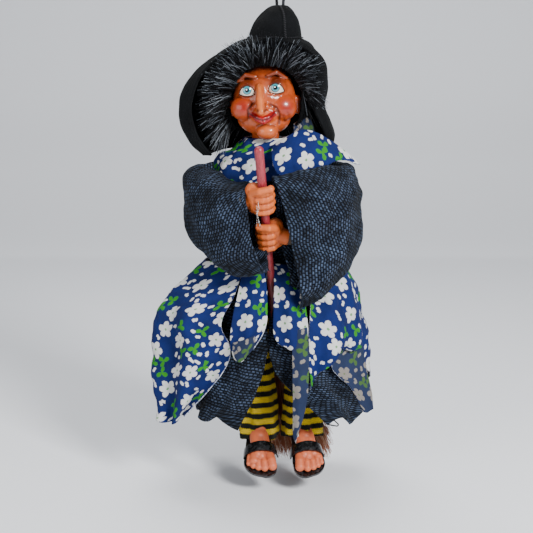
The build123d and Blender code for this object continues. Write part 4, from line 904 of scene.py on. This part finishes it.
fist("fist_left", -146.0, -1, (-18.5, -36.5, -147.5), "hand_left")
fist("fist_right", -168.3, 1, (3.5, -29.5, -169.5), "hand_right")
glue = surface("hot_melt_glue", Base_Color=linear("#F2EEE6"), Roughness=0.08, Transmission_Weight=0.85,
               IOR=1.48)
strings = []
for ends in (((-13.2, -45.0, -149), (-12.6, -42.5, -156), (-11.5, -37.5, -163)),
             ((-11.6, -45.0, -143), (-12.4, -46.2, -147), (-11.8, -45, -151)),
             ((-8.8, -44.5, -146), (-12.8, -43.0, -154), (-9.6, -36.8, -166)),
             ((-13.6, -43.0, -152), (-13.2, -40.5, -158.5), (-14.0, -36.5, -164))):
    strings.append((through(ends, 12), linear("#FFFFFF"), linear("#FFFFFF"), 0.3))
fix(strands("glue_strings", strings, 0.26, glue, sides=8), "torso")

# ---- broom ----
# A turned stick stained red, its grain showing, with a flat fan of brown faux fur bound on by black wire.
red_stick = surface("red_stained_stick", Roughness=0.45, Coat_Weight=0.25, Coat_Roughness=0.3)
place = node(red_stick, "TexCoord", out="Object")
grain = node(red_stick, "TexNoise", {"Vector": node(red_stick, "Mapping",
                                                    {"Vector": place, "Scale": (1100, 1100, 70)}),
                                     "Scale": 1.0, "Detail": 5, "Roughness": 0.6})
height = node(red_stick, "SeparateXYZ", {0: place}, out="Z")
# The red is darker towards the bottom of the stick.
height_share = node(red_stick, "MapRange", {"Value": height, "From Min": -0.26, "From Max": -0.12})
stain = node(red_stick, "Mix", {"Factor": height_share, 6: linear("#74261F"), 7: linear("#A52F3D")}, out=2,
             data_type="RGBA")
dark_grain = node(red_stick, "ValToRGB", {"Fac": grain}, stops=[(0.35, "#A88080"), (0.65, "#FFFFFF")])
finish(red_stick, Base_Color=node(red_stick, "Mix", {"Factor": 0.8, 6: stain, 7: dark_grain}, out=2,
                                  data_type="RGBA", blend_type="MULTIPLY"),
       Normal=node(red_stick, "Bump", {"Height": grain, "Distance": 0.0003, "Strength": 0.5}))
dress(red_stick, "broom_handle")
black_wire = surface("black_coated_wire", Roughness=0.35, Metallic=0.2)
scuffs = node(black_wire, "TexNoise", {"Vector": node(black_wire, "TexCoord", out="Object"), "Scale": 900,
                                       "Detail": 3})
finish(black_wire, Base_Color=node(black_wire, "ValToRGB", {"Fac": scuffs},
                                   stops=[(0.45, "#0B0B0C"), (0.75, "#38383C")]))
dress(black_wire, "broom_wire")
random.seed(23)
fan = []
for k in range(3400):
    across = random.uniform(-1, 1)
    through_fan = random.uniform(-1, 1)
    root = Vector((0.6 + across * 5.2, 13.2 + through_fan * 4.4, -256 + random.uniform(-2.5, 2.5)))
    end_z = random.uniform(-320, -303) if random.random() < 0.75 else random.uniform(-300, -276)
    end = Vector((12.5 + across * 20 + random.uniform(-3, 3),
                  25.0 + through_fan * 6.5 + random.uniform(-2, 2), end_z))
    middle = (root + end) / 2 + Vector((-3.4 + across * 2, -1.2, 3))
    middle += Vector([random.uniform(-1.6, 1.6) for _ in range(3)])
    line = through([root, middle, end], 6)
    kind = random.random()
    root_tone = linear("#3E1A0E") if kind < 0.5 else linear("#6E321A")
    tip_tone = linear("#B99A80") if kind > 0.75 else linear("#8A4C2E")
    fan.append((line, root_tone, tip_tone, 0.6))
fix(strands("broom_fan", fan, 0.24, fur), "torso", "broom_bristles")

# ---- skirt ----
# The same basket weave, gathered on the casing and slit at the front where the stick passes.
skirt_levels = [(-188, -5, 7, 33.4, 18.4), (-200, -4.6, 6.6, 34.6, 19.6), (-214, -3, 5.4, 38.5, 24),
                (-232, 0, 4, 43.8, 30.4), (-250, 0.5, 3, 46.8, 34.2), (-266, 0.8, 2, 49, 36.6),
                (-281, 1, 1, 51, 38.8)]
slit_edges = [(-6.5, -1.5), (-7.8, 1.2), (-1.5, -3.5), (3.0, -6.5), (0.0, -1.5), (-16, 15), (-25, 29)]
skirt_rows = []
for (z, x, y, half_width, half_depth), (left, right) in zip(skirt_levels, slit_edges):
    start = -acos(max(-1, min(1, (right - x) / half_width)))
    stop = 2 * pi - acos(max(-1, min(1, (left - x) / half_width)))
    skirt_rows.append(ring(z, x, y, half_width, half_depth, count=30, start=start, sweep=stop - start))
for index, point in enumerate(skirt_rows[-1]):
    point.z += 3.2 * sin(1.9 * index) + 2.5 * (point.y > 10)
skirt_grid = crumple(fine_grid(skirt_rows, 170, 90), 2.0, 12, 3.9, pleats=2.0, folds=11)
skirt_cloth = cloth("skirt_cloth", skirt_grid, 1.2, woollen)
fix(skirt_cloth, "torso", "skirt")
declare_sheet(skirt_grid)

# ---- overskirt ----
# Loose pointed panels of the printed cotton caught in at the waist: a big one round each side, a flap
# on each side of the stick, and two hanging tails that show their faded reverse.
panels = {
    "overskirt_left_cloth": (cotton, [
        [(-3.6, 27.5, -187), (-26, 27.5, -187), (-40, 20, -187), (-43.5, 7, -187), (-44, -6, -187),
         (-33, -14, -186.5), (-20.3, -16.5, -187)],
        [(-3.6, 31, -205), (-30, 31.5, -206), (-51, 25, -206), (-59, 10, -206), (-62.5, -6, -205),
         (-45, -20, -204), (-26, -23.5, -204)],
        [(-3.6, 35.5, -224), (-35, 36, -224), (-59, 28, -223), (-68.5, 11, -221), (-72, -7, -220),
         (-56, -25, -220), (-34, -29, -221)],
        [(-3.6, 37.5, -240), (-36, 38, -240), (-60, 30, -239), (-71.5, 12, -236), (-74.5, -8, -235),
         (-54, -29, -235), (-28.5, -33.5, -234)],
        [(-3.6, 38.6, -252), (-34, 40, -262), (-61, 32, -256), (-72.5, 14, -248), (-74, -11, -256),
         (-58, -29, -255), (-34, -32, -249)],
        [(-3.6, 39, -259), (-29, 41, -278), (-60, 33, -264), (-72, 15, -256), (-71.5, -16, -280),
         (-63.5, -24, -282), (-56.5, -26, -277)]],
        3.2, 6, "overskirt_left", (140, 80)),
    "overskirt_left_flap": (cotton, [
        [(-21, -15.5, -188), (-15, -17, -187.5), (-9.8, -16.5, -187)],
        [(-24.5, -27, -204), (-16, -31.5, -204), (-7.6, -27, -201)],
        [(-28, -33.5, -220), (-17, -38.5, -220), (-7.8, -34, -218)],
        [(-28.5, -36.5, -231), (-21, -40.5, -232), (-11, -38, -226)],
        [(-26.5, -38, -238), (-23, -40, -240.8), (-15.5, -39, -232.5)]], 0.8, 2, None, (44, 60)),
    "overskirt_right_flap": (cotton, [
        [(-3.4, -15.5, -187), (4, -17, -187.5), (12.5, -16.5, -188)],
        [(-3.4, -24, -203), (6, -29, -203), (14, -26, -204)],
        [(-3.9, -30, -219), (6, -35.5, -219), (15.4, -32.5, -215)],
        [(-3.2, -32, -227), (7, -37.5, -230.5), (16, -35, -225)],
        [(-0.5, -33, -230.5), (6, -37, -234), (14.5, -36, -228.5)]], 0.8, 2, None, (44, 60)),
    "overskirt_tail": (turned_cotton, [
        [(6.9, -35, -222), (11, -36, -222), (15.6, -35, -221)],
        [(7.2, -38, -238), (11.4, -40, -238), (16.6, -39, -237)],
        [(7.3, -40, -252), (11.2, -42, -252), (16.5, -41, -251)],
        [(7.4, -41, -268), (10.6, -43, -269), (14.8, -42, -268)],
        [(7.6, -42, -285.5), (8.8, -43, -287), (11.4, -42, -279)]], 0.3, 1, None, (26, 60)),
    "overskirt_right_cloth": (cotton, [
        [(12, -16, -188), (26, -15, -188), (37, -4, -188), (35.5, 14, -187), (22, 26.5, -187),
         (-3.2, 27.5, -187)],
        [(17.5, -25, -205), (31, -23, -204), (43, -9, -204), (45.5, 14, -205), (34, 30, -205),
         (-3.2, 31, -205)],
        [(16.5, -33, -226), (33, -29, -225), (46.5, -10, -226), (51.5, 14, -225), (38, 34.5, -225),
         (-3.2, 35.5, -224)],
        [(16.5, -35.5, -243), (31, -30, -238), (47, -12, -236), (54, 14, -242), (40, 36.5, -243),
         (-3.2, 37.5, -240)],
        [(17, -37, -257.5), (27, -31, -246), (41, -18, -238), (55, 12, -262), (42, 38, -278),
         (-3.2, 39, -259)]],
        2.2, 5, "overskirt_right", (120, 70)),
    "overskirt_right_tail": (turned_cotton, [
        [(34, -22, -236), (42, -14, -234), (49.5, -7, -232)],
        [(31, -26, -248), (43, -17, -248), (51.5, -8, -250)],
        [(42, -19, -262), (49, -14, -264), (55, -8, -266)],
        [(50, -12, -278), (53.5, -11, -280), (57, -8, -278.5)]], 0.8, 1, None, (34, 44)),
}
for name, (sides, rows, pleats, folds, replaced, (across, down)) in panels.items():
    grid = crumple(fine_grid(rows, across, down), 1.7 if replaced else 0.8, 10, len(name) * 0.7,
                   pleats=pleats, folds=folds)
    panel = cloth(name, grid, 0.6, sides)
    fix(panel, "torso", replaced)
    declare_sheet(grid)
turned_rows = [[(-27.5, -38, -229.5), (-21, -41, -227), (-14.5, -41, -224.5)],
               [(-27, -40, -234), (-21, -43, -232), (-14, -42, -228)],
               [(-26, -39.5, -238.2), (-22.6, -41.5, -240), (-15, -40.5, -232)]]
turned_grid = fine_grid(turned_rows, 30, 20)
turned_corner = cloth("overskirt_turned_corner", turned_grid, 0.6, turned_cotton)
fix(turned_corner, "torso")
declare_sheet(turned_grid)

# ---- legs ----
# Striped knit tubes, yellow and black, over foam legs: stocking stitch with wales 1.3 mm wide,
# wrinkled lengthwise. The feet are soft vinyl in glossy black sandals.
knit = surface("striped_stocking_knit", Roughness=0.85, Sheen_Weight=0.03, Specular_IOR_Level=0.12)
wale_width, row_height, stripe_pair = 1.3, 1.05, 6.8
cut = node(knit, "UVMap", uv_map="cut_mm")
u = node(knit, "SeparateXYZ", {0: cut}, out="X")
v = node(knit, "SeparateXYZ", {0: cut}, out="Y")
wale = node(knit, "Math", {0: node(knit, "Math", {0: u, 1: 1 / wale_width}, operation="MULTIPLY"), 1: 0.5},
            operation="PINGPONG")
row = node(knit, "Math", {0: wale, 1: wale_width, 2: v}, operation="MULTIPLY_ADD")
ragged = node(knit, "TexNoise", {"Vector": cut, "Scale": 0.8, "Detail": 2})
row = node(knit, "Math", {0: ragged, 1: 0.9, 2: row}, operation="MULTIPLY_ADD")
stripe = node(knit, "Math", {0: node(knit, "Math", {0: row, 1: 1 / stripe_pair}, operation="MULTIPLY")},
              operation="FRACT")
stripe = node(knit, "MapRange", {"Value": stripe, "From Min": 0.46, "From Max": 0.52})
loops = node(knit, "Math", {0: node(knit, "Math", {0: row, 1: 2 * pi / row_height}, operation="MULTIPLY")},
             operation="SINE")
furrow = node(knit, "Math", {0: wale, 1: 0.12}, operation="LESS_THAN")
fleck = node(knit, "TexNoise", {"Vector": cut, "Scale": 1.4, "Detail": 4})
yellow = node(knit, "Mix", {"Factor": fleck, 6: linear("#C79A0C"), 7: linear("#F6DC2A")}, out=2,
              data_type="RGBA")
black = node(knit, "Mix", {"Factor": fleck, 6: linear("#040706"), 7: linear("#121A16")}, out=2,
             data_type="RGBA")
colour = node(knit, "Mix", {"Factor": stripe, 6: black, 7: yellow}, out=2, data_type="RGBA")
gap = node(knit, "MapRange", {"Value": loops, "From Min": -1.0, "From Max": 0.2, "To Min": 0.5,
                              "To Max": 1.0})
colour = node(knit, "Mix", {"Factor": 1.0, 6: colour, 7: gap}, out=2, data_type="RGBA", blend_type="MULTIPLY")
height = node(knit, "Math", {0: furrow, 1: -1.0, 2: loops}, operation="MULTIPLY_ADD")
finish(knit, Base_Color=colour, Normal=node(knit, "Bump", {"Height": height, "Distance": 0.0004,
                                                           "Strength": 0.8}))

foot_vinyl = vinyl("foot_vinyl", "#CC6842", "#7A2812")
patent = surface("black_sandal_vinyl", Coat_Weight=0.4, Coat_Roughness=0.1)
rub = node(patent, "TexNoise", {"Vector": node(patent, "TexCoord", out="Object"), "Scale": 420, "Detail": 5})
finish(patent, Base_Color=node(patent, "ValToRGB", {"Fac": rub}, stops=[(0.5, "#0A0A0B"), (0.8, "#303034")]),
       Roughness=node(patent, "MapRange", {"Value": rub, "To Min": 0.12, "To Max": 0.42}),
       Normal=node(patent, "Bump", {"Height": rub, "Distance": 0.0003, "Strength": 0.3}))
dress(patent, "sandal_sole_left", "sandal_sole_right", "sandal_strap_left", "sandal_strap_right")

legs = {
    "left": ([(-216, -13.9, 0, 6.7, 6.9), (-235, -13.8, 0, 8.0, 8.0), (-252, -13.4, 0, 9.2, 8.6),
              (-270, -12.8, 0, 10.4, 9.4), (-286, -12.4, -0.5, 11.6, 10.2),
              (-296.5, -12.3, -1.0, 12.4, 10.8)], -13.0, 7.0, -1, 1.9, -13),
    "right": ([(-216, 13.9, 0, 6.7, 6.9), (-235, 13.6, 0, 8.0, 8.0), (-252, 13.6, 0, 9.2, 8.6),
               (-270, 13.8, 0, 10.6, 9.4), (-286, 14.2, -0.5, 12.0, 10.2), (-296.5, 14.4, -1.0, 12.9, 10.8)],
              14.5, 9.0, 1, 4.6, 13),
}
for side, (levels, foot_x, yaw, toe_side, seed, hip_x) in legs.items():
    rows = [ring(*level, count=36, wave=0.028, lobes=6) for level in levels]
    for index, point in enumerate(rows[-1]):
        point.z += 1.1 * sin(0.7 * index + seed)
    grid = crumple(fine_grid(rows, 110, 90, closed=True), 0.9, 5, seed, pleats=0.9, folds=7, closed=True)
    stocking = cloth(f"stocking_knit_{side}", grid, 1.1, [knit] * 3, closed=True)
    fix(stocking, f"leg_{side}", f"stocking_{side}")
    declare_sheet(grid)
    turn, pitch = radians(yaw), radians(33.0)
    forward = Vector((sin(turn) * cos(pitch), -cos(turn) * cos(pitch), -sin(pitch)))
    wide = Vector((-cos(turn), -sin(turn), 0))
    up = wide.cross(forward)
    heel, ankle = Vector((foot_x, -4, -297)), Vector((hip_x, -0.5, -290))

    def spot(across, distance, height):
        return heel + wide * across + forward * distance + up * height

    bars = [(spot(0, -3, 5), spot(0, 4, 4.8), 5.2, 5.0), (spot(1.2, 4, 4.6), spot(2.2, 17, 3.4), 4.6, 3.4),
            (spot(-1.2, 4, 4.6), spot(-3.6, 16, 3.0), 4.6, 3.0),
            (spot(0, 2, 4.8), spot(0, 18, 3.2), 4.8, 3.2), (spot(3.4, 14, 2.9), spot(4.6, 21, 2.9), 3.2, 2.9),
            (spot(-4.4, 13, 2.6), spot(-5.6, 18.5, 2.5), 2.8, 2.5), (spot(0, 0, 5), ankle, 5.6, 5.2),
            (ankle, Vector((hip_x, 0, -283)), 5.2, 5.2)]
    for across, distance, radius in ((6.0, 25.2, 2.8), (1.4, 26.0, 2.2), (-2.2, 25.2, 2.0), (-5.2, 23.8, 1.8),
                                     (-7.6, 21.8, 1.6)):
        base = spot(toe_side * across * 0.86, distance - 7, radius + 0.6)
        knuckle = spot(toe_side * across * 0.96, distance - 3.2, radius + 1.2)
        tip = spot(toe_side * across, distance, radius + 0.2)
        bars += [(base, knuckle, radius, radius * 0.95), (knuckle, tip, radius * 0.95, radius)]
    foot = moulded(f"foot_moulding_{side}", bars, 0.38, 2, foot_vinyl)
    fix(foot, f"leg_{side}", f"foot_{side}")
# A white thread tie was left through the hem of the right stocking.
tie_lines = [(through([(10.4 + 0.35 * k, -12.9 - 0.1 * k, -289), (10.2 + 0.3 * k, -13.4, -293),
                       (9.9 + 0.5 * k, -12.9, -298.5 + 0.5 * k)], 7),
              linear("#E6E6E2"), linear("#F4F4F0"), 0.2) for k in range(5)]
fix(strands("hem_tie", tie_lines, 0.3, thread, sides=5), "leg_right")

# ---- works inside the body ----
# Matt black ABS casing in two halves, with its battery tray, cells, motor, speaker, board and switch.
abs_black = surface("moulded_abs_black")
place = node(abs_black, "TexCoord", out="Object")
texture = node(abs_black, "TexNoise", {"Vector": place, "Scale": 1800, "Detail": 2})
handling = node(abs_black, "TexNoise", {"Vector": place, "Scale": 60, "Detail": 4})
finish(abs_black, Base_Color=node(abs_black, "ValToRGB", {"Fac": handling},
                                  stops=[(0.35, "#141415"), (0.75, "#262628")]),
       Roughness=node(abs_black, "MapRange", {"Value": handling, "To Min": 0.42, "To Max": 0.66}),
       Normal=node(abs_black, "Bump", {"Height": texture, "Distance": 0.0001, "Strength": 0.4}))
dress(abs_black, "neck_post", "neck_cap", "body_shell_front", "body_shell_rear", "battery_tray",
      "battery_door")
switch_white = surface("switch_acetal", Roughness=0.4)
dust = node(switch_white, "TexNoise", {"Vector": node(switch_white, "TexCoord", out="Object"), "Scale": 500,
                                       "Detail": 4})
finish(switch_white, Base_Color=node(switch_white, "ValToRGB", {"Fac": dust},
                                     stops=[(0.35, "#B9B8B2"), (0.6, "#DEDED9")]))
dress(switch_white, "power_switch_body", "power_switch_knob")
for name, tint, metal, rough, pieces in (
        ("drawn_steel", "#B4B6B8", 1.0, 0.32, ("neck_screw", "casing_screws", "battery_door_pin",
                                               "hip_axle")),
        ("nickel_plate", "#C9C6BC", 1.0, 0.22, ("battery_contacts",)),
        ("cell_sleeve_green", "#3A6B4A", 0.0, 0.3, ("battery_cells",)),
        ("green_solder_mask", "#1F5B38", 0.0, 0.35, ("circuit_board",)),
        ("speaker_paper", "#2A2A2C", 0.0, 0.9, ("speaker",)),
        ("zinc_plated_can", "#A8AAAD", 1.0, 0.38, ("motor",)),
        ("turned_brass", "#B08D45", 1.0, 0.3, ("motor_weight",))):
    m = surface(name, Metallic=metal)
    marks = node(m, "TexNoise", {"Vector": node(m, "TexCoord", out="Object"), "Scale": 700, "Detail": 4})
    wear = node(m, "ValToRGB", {"Fac": marks}, stops=[(0.3, "#B0B0B0"), (0.7, "#FFFFFF")])
    finish(m, Base_Color=node(m, "Mix", {"Factor": 0.5, 6: linear(tint), 7: wear}, out=2, data_type="RGBA",
                              blend_type="MULTIPLY"),
           Roughness=node(m, "MapRange", {"Value": marks, "To Min": rough * 0.8,
                                          "To Max": min(1, rough * 1.3)}),
           Normal=node(m, "Bump", {"Height": marks, "Distance": 0.0001, "Strength": 0.3}))
    dress(m, *pieces)

# ---- studio ----
# A pale floor just under the broom that curves up into a plain backdrop, with soft light from the
# front right.
floor_z = -324.5
profile = [(-1100, floor_z), (500, floor_z), (800, floor_z + 12), (1000, floor_z + 90), (1120, floor_z + 260),
           (1160, floor_z + 700), (1170, 1500)]
sweep_line = through([(0, y, z) for y, z in profile], 60)
mesh = bpy.data.meshes.new("backdrop")
mesh.from_pydata([Vector((x, p.y, p.z)) * mm for p in sweep_line for x in (-2200, 2200)], [],
                 [(2 * k, 2 * k + 1, 2 * k + 3, 2 * k + 2) for k in range(len(sweep_line) - 1)])
paper = surface("backdrop_paper", Base_Color=linear("#E8EAEE"), Roughness=0.8)
add_object("backdrop", mesh, [paper])
for name, spot, size, power in (("key", (520, -760, 330), 260, 19), ("fill", (-760, -700, 60), 600, 5),
                                ("top", (-100, 250, 700), 500, 7)):
    light = bpy.data.objects.new(name, bpy.data.lights.new(name, "AREA"))
    light.data.size = size * mm
    light.data.energy = power
    light.location = Vector(spot) * mm
    light.rotation_euler = (Vector((-8, 0, -170)) - Vector(spot)).to_track_quat("-Z", "Y").to_euler()
    bpy.context.scene.collection.objects.link(light)
world = bpy.data.worlds.new("studio")
bpy.context.scene.world = world
world.use_nodes = True
sky = world.node_tree.nodes["Background"].inputs
sky["Color"].default_value, sky["Strength"].default_value = linear("#E4E9F0"), 0.28

bpy.context.view_layer.update()
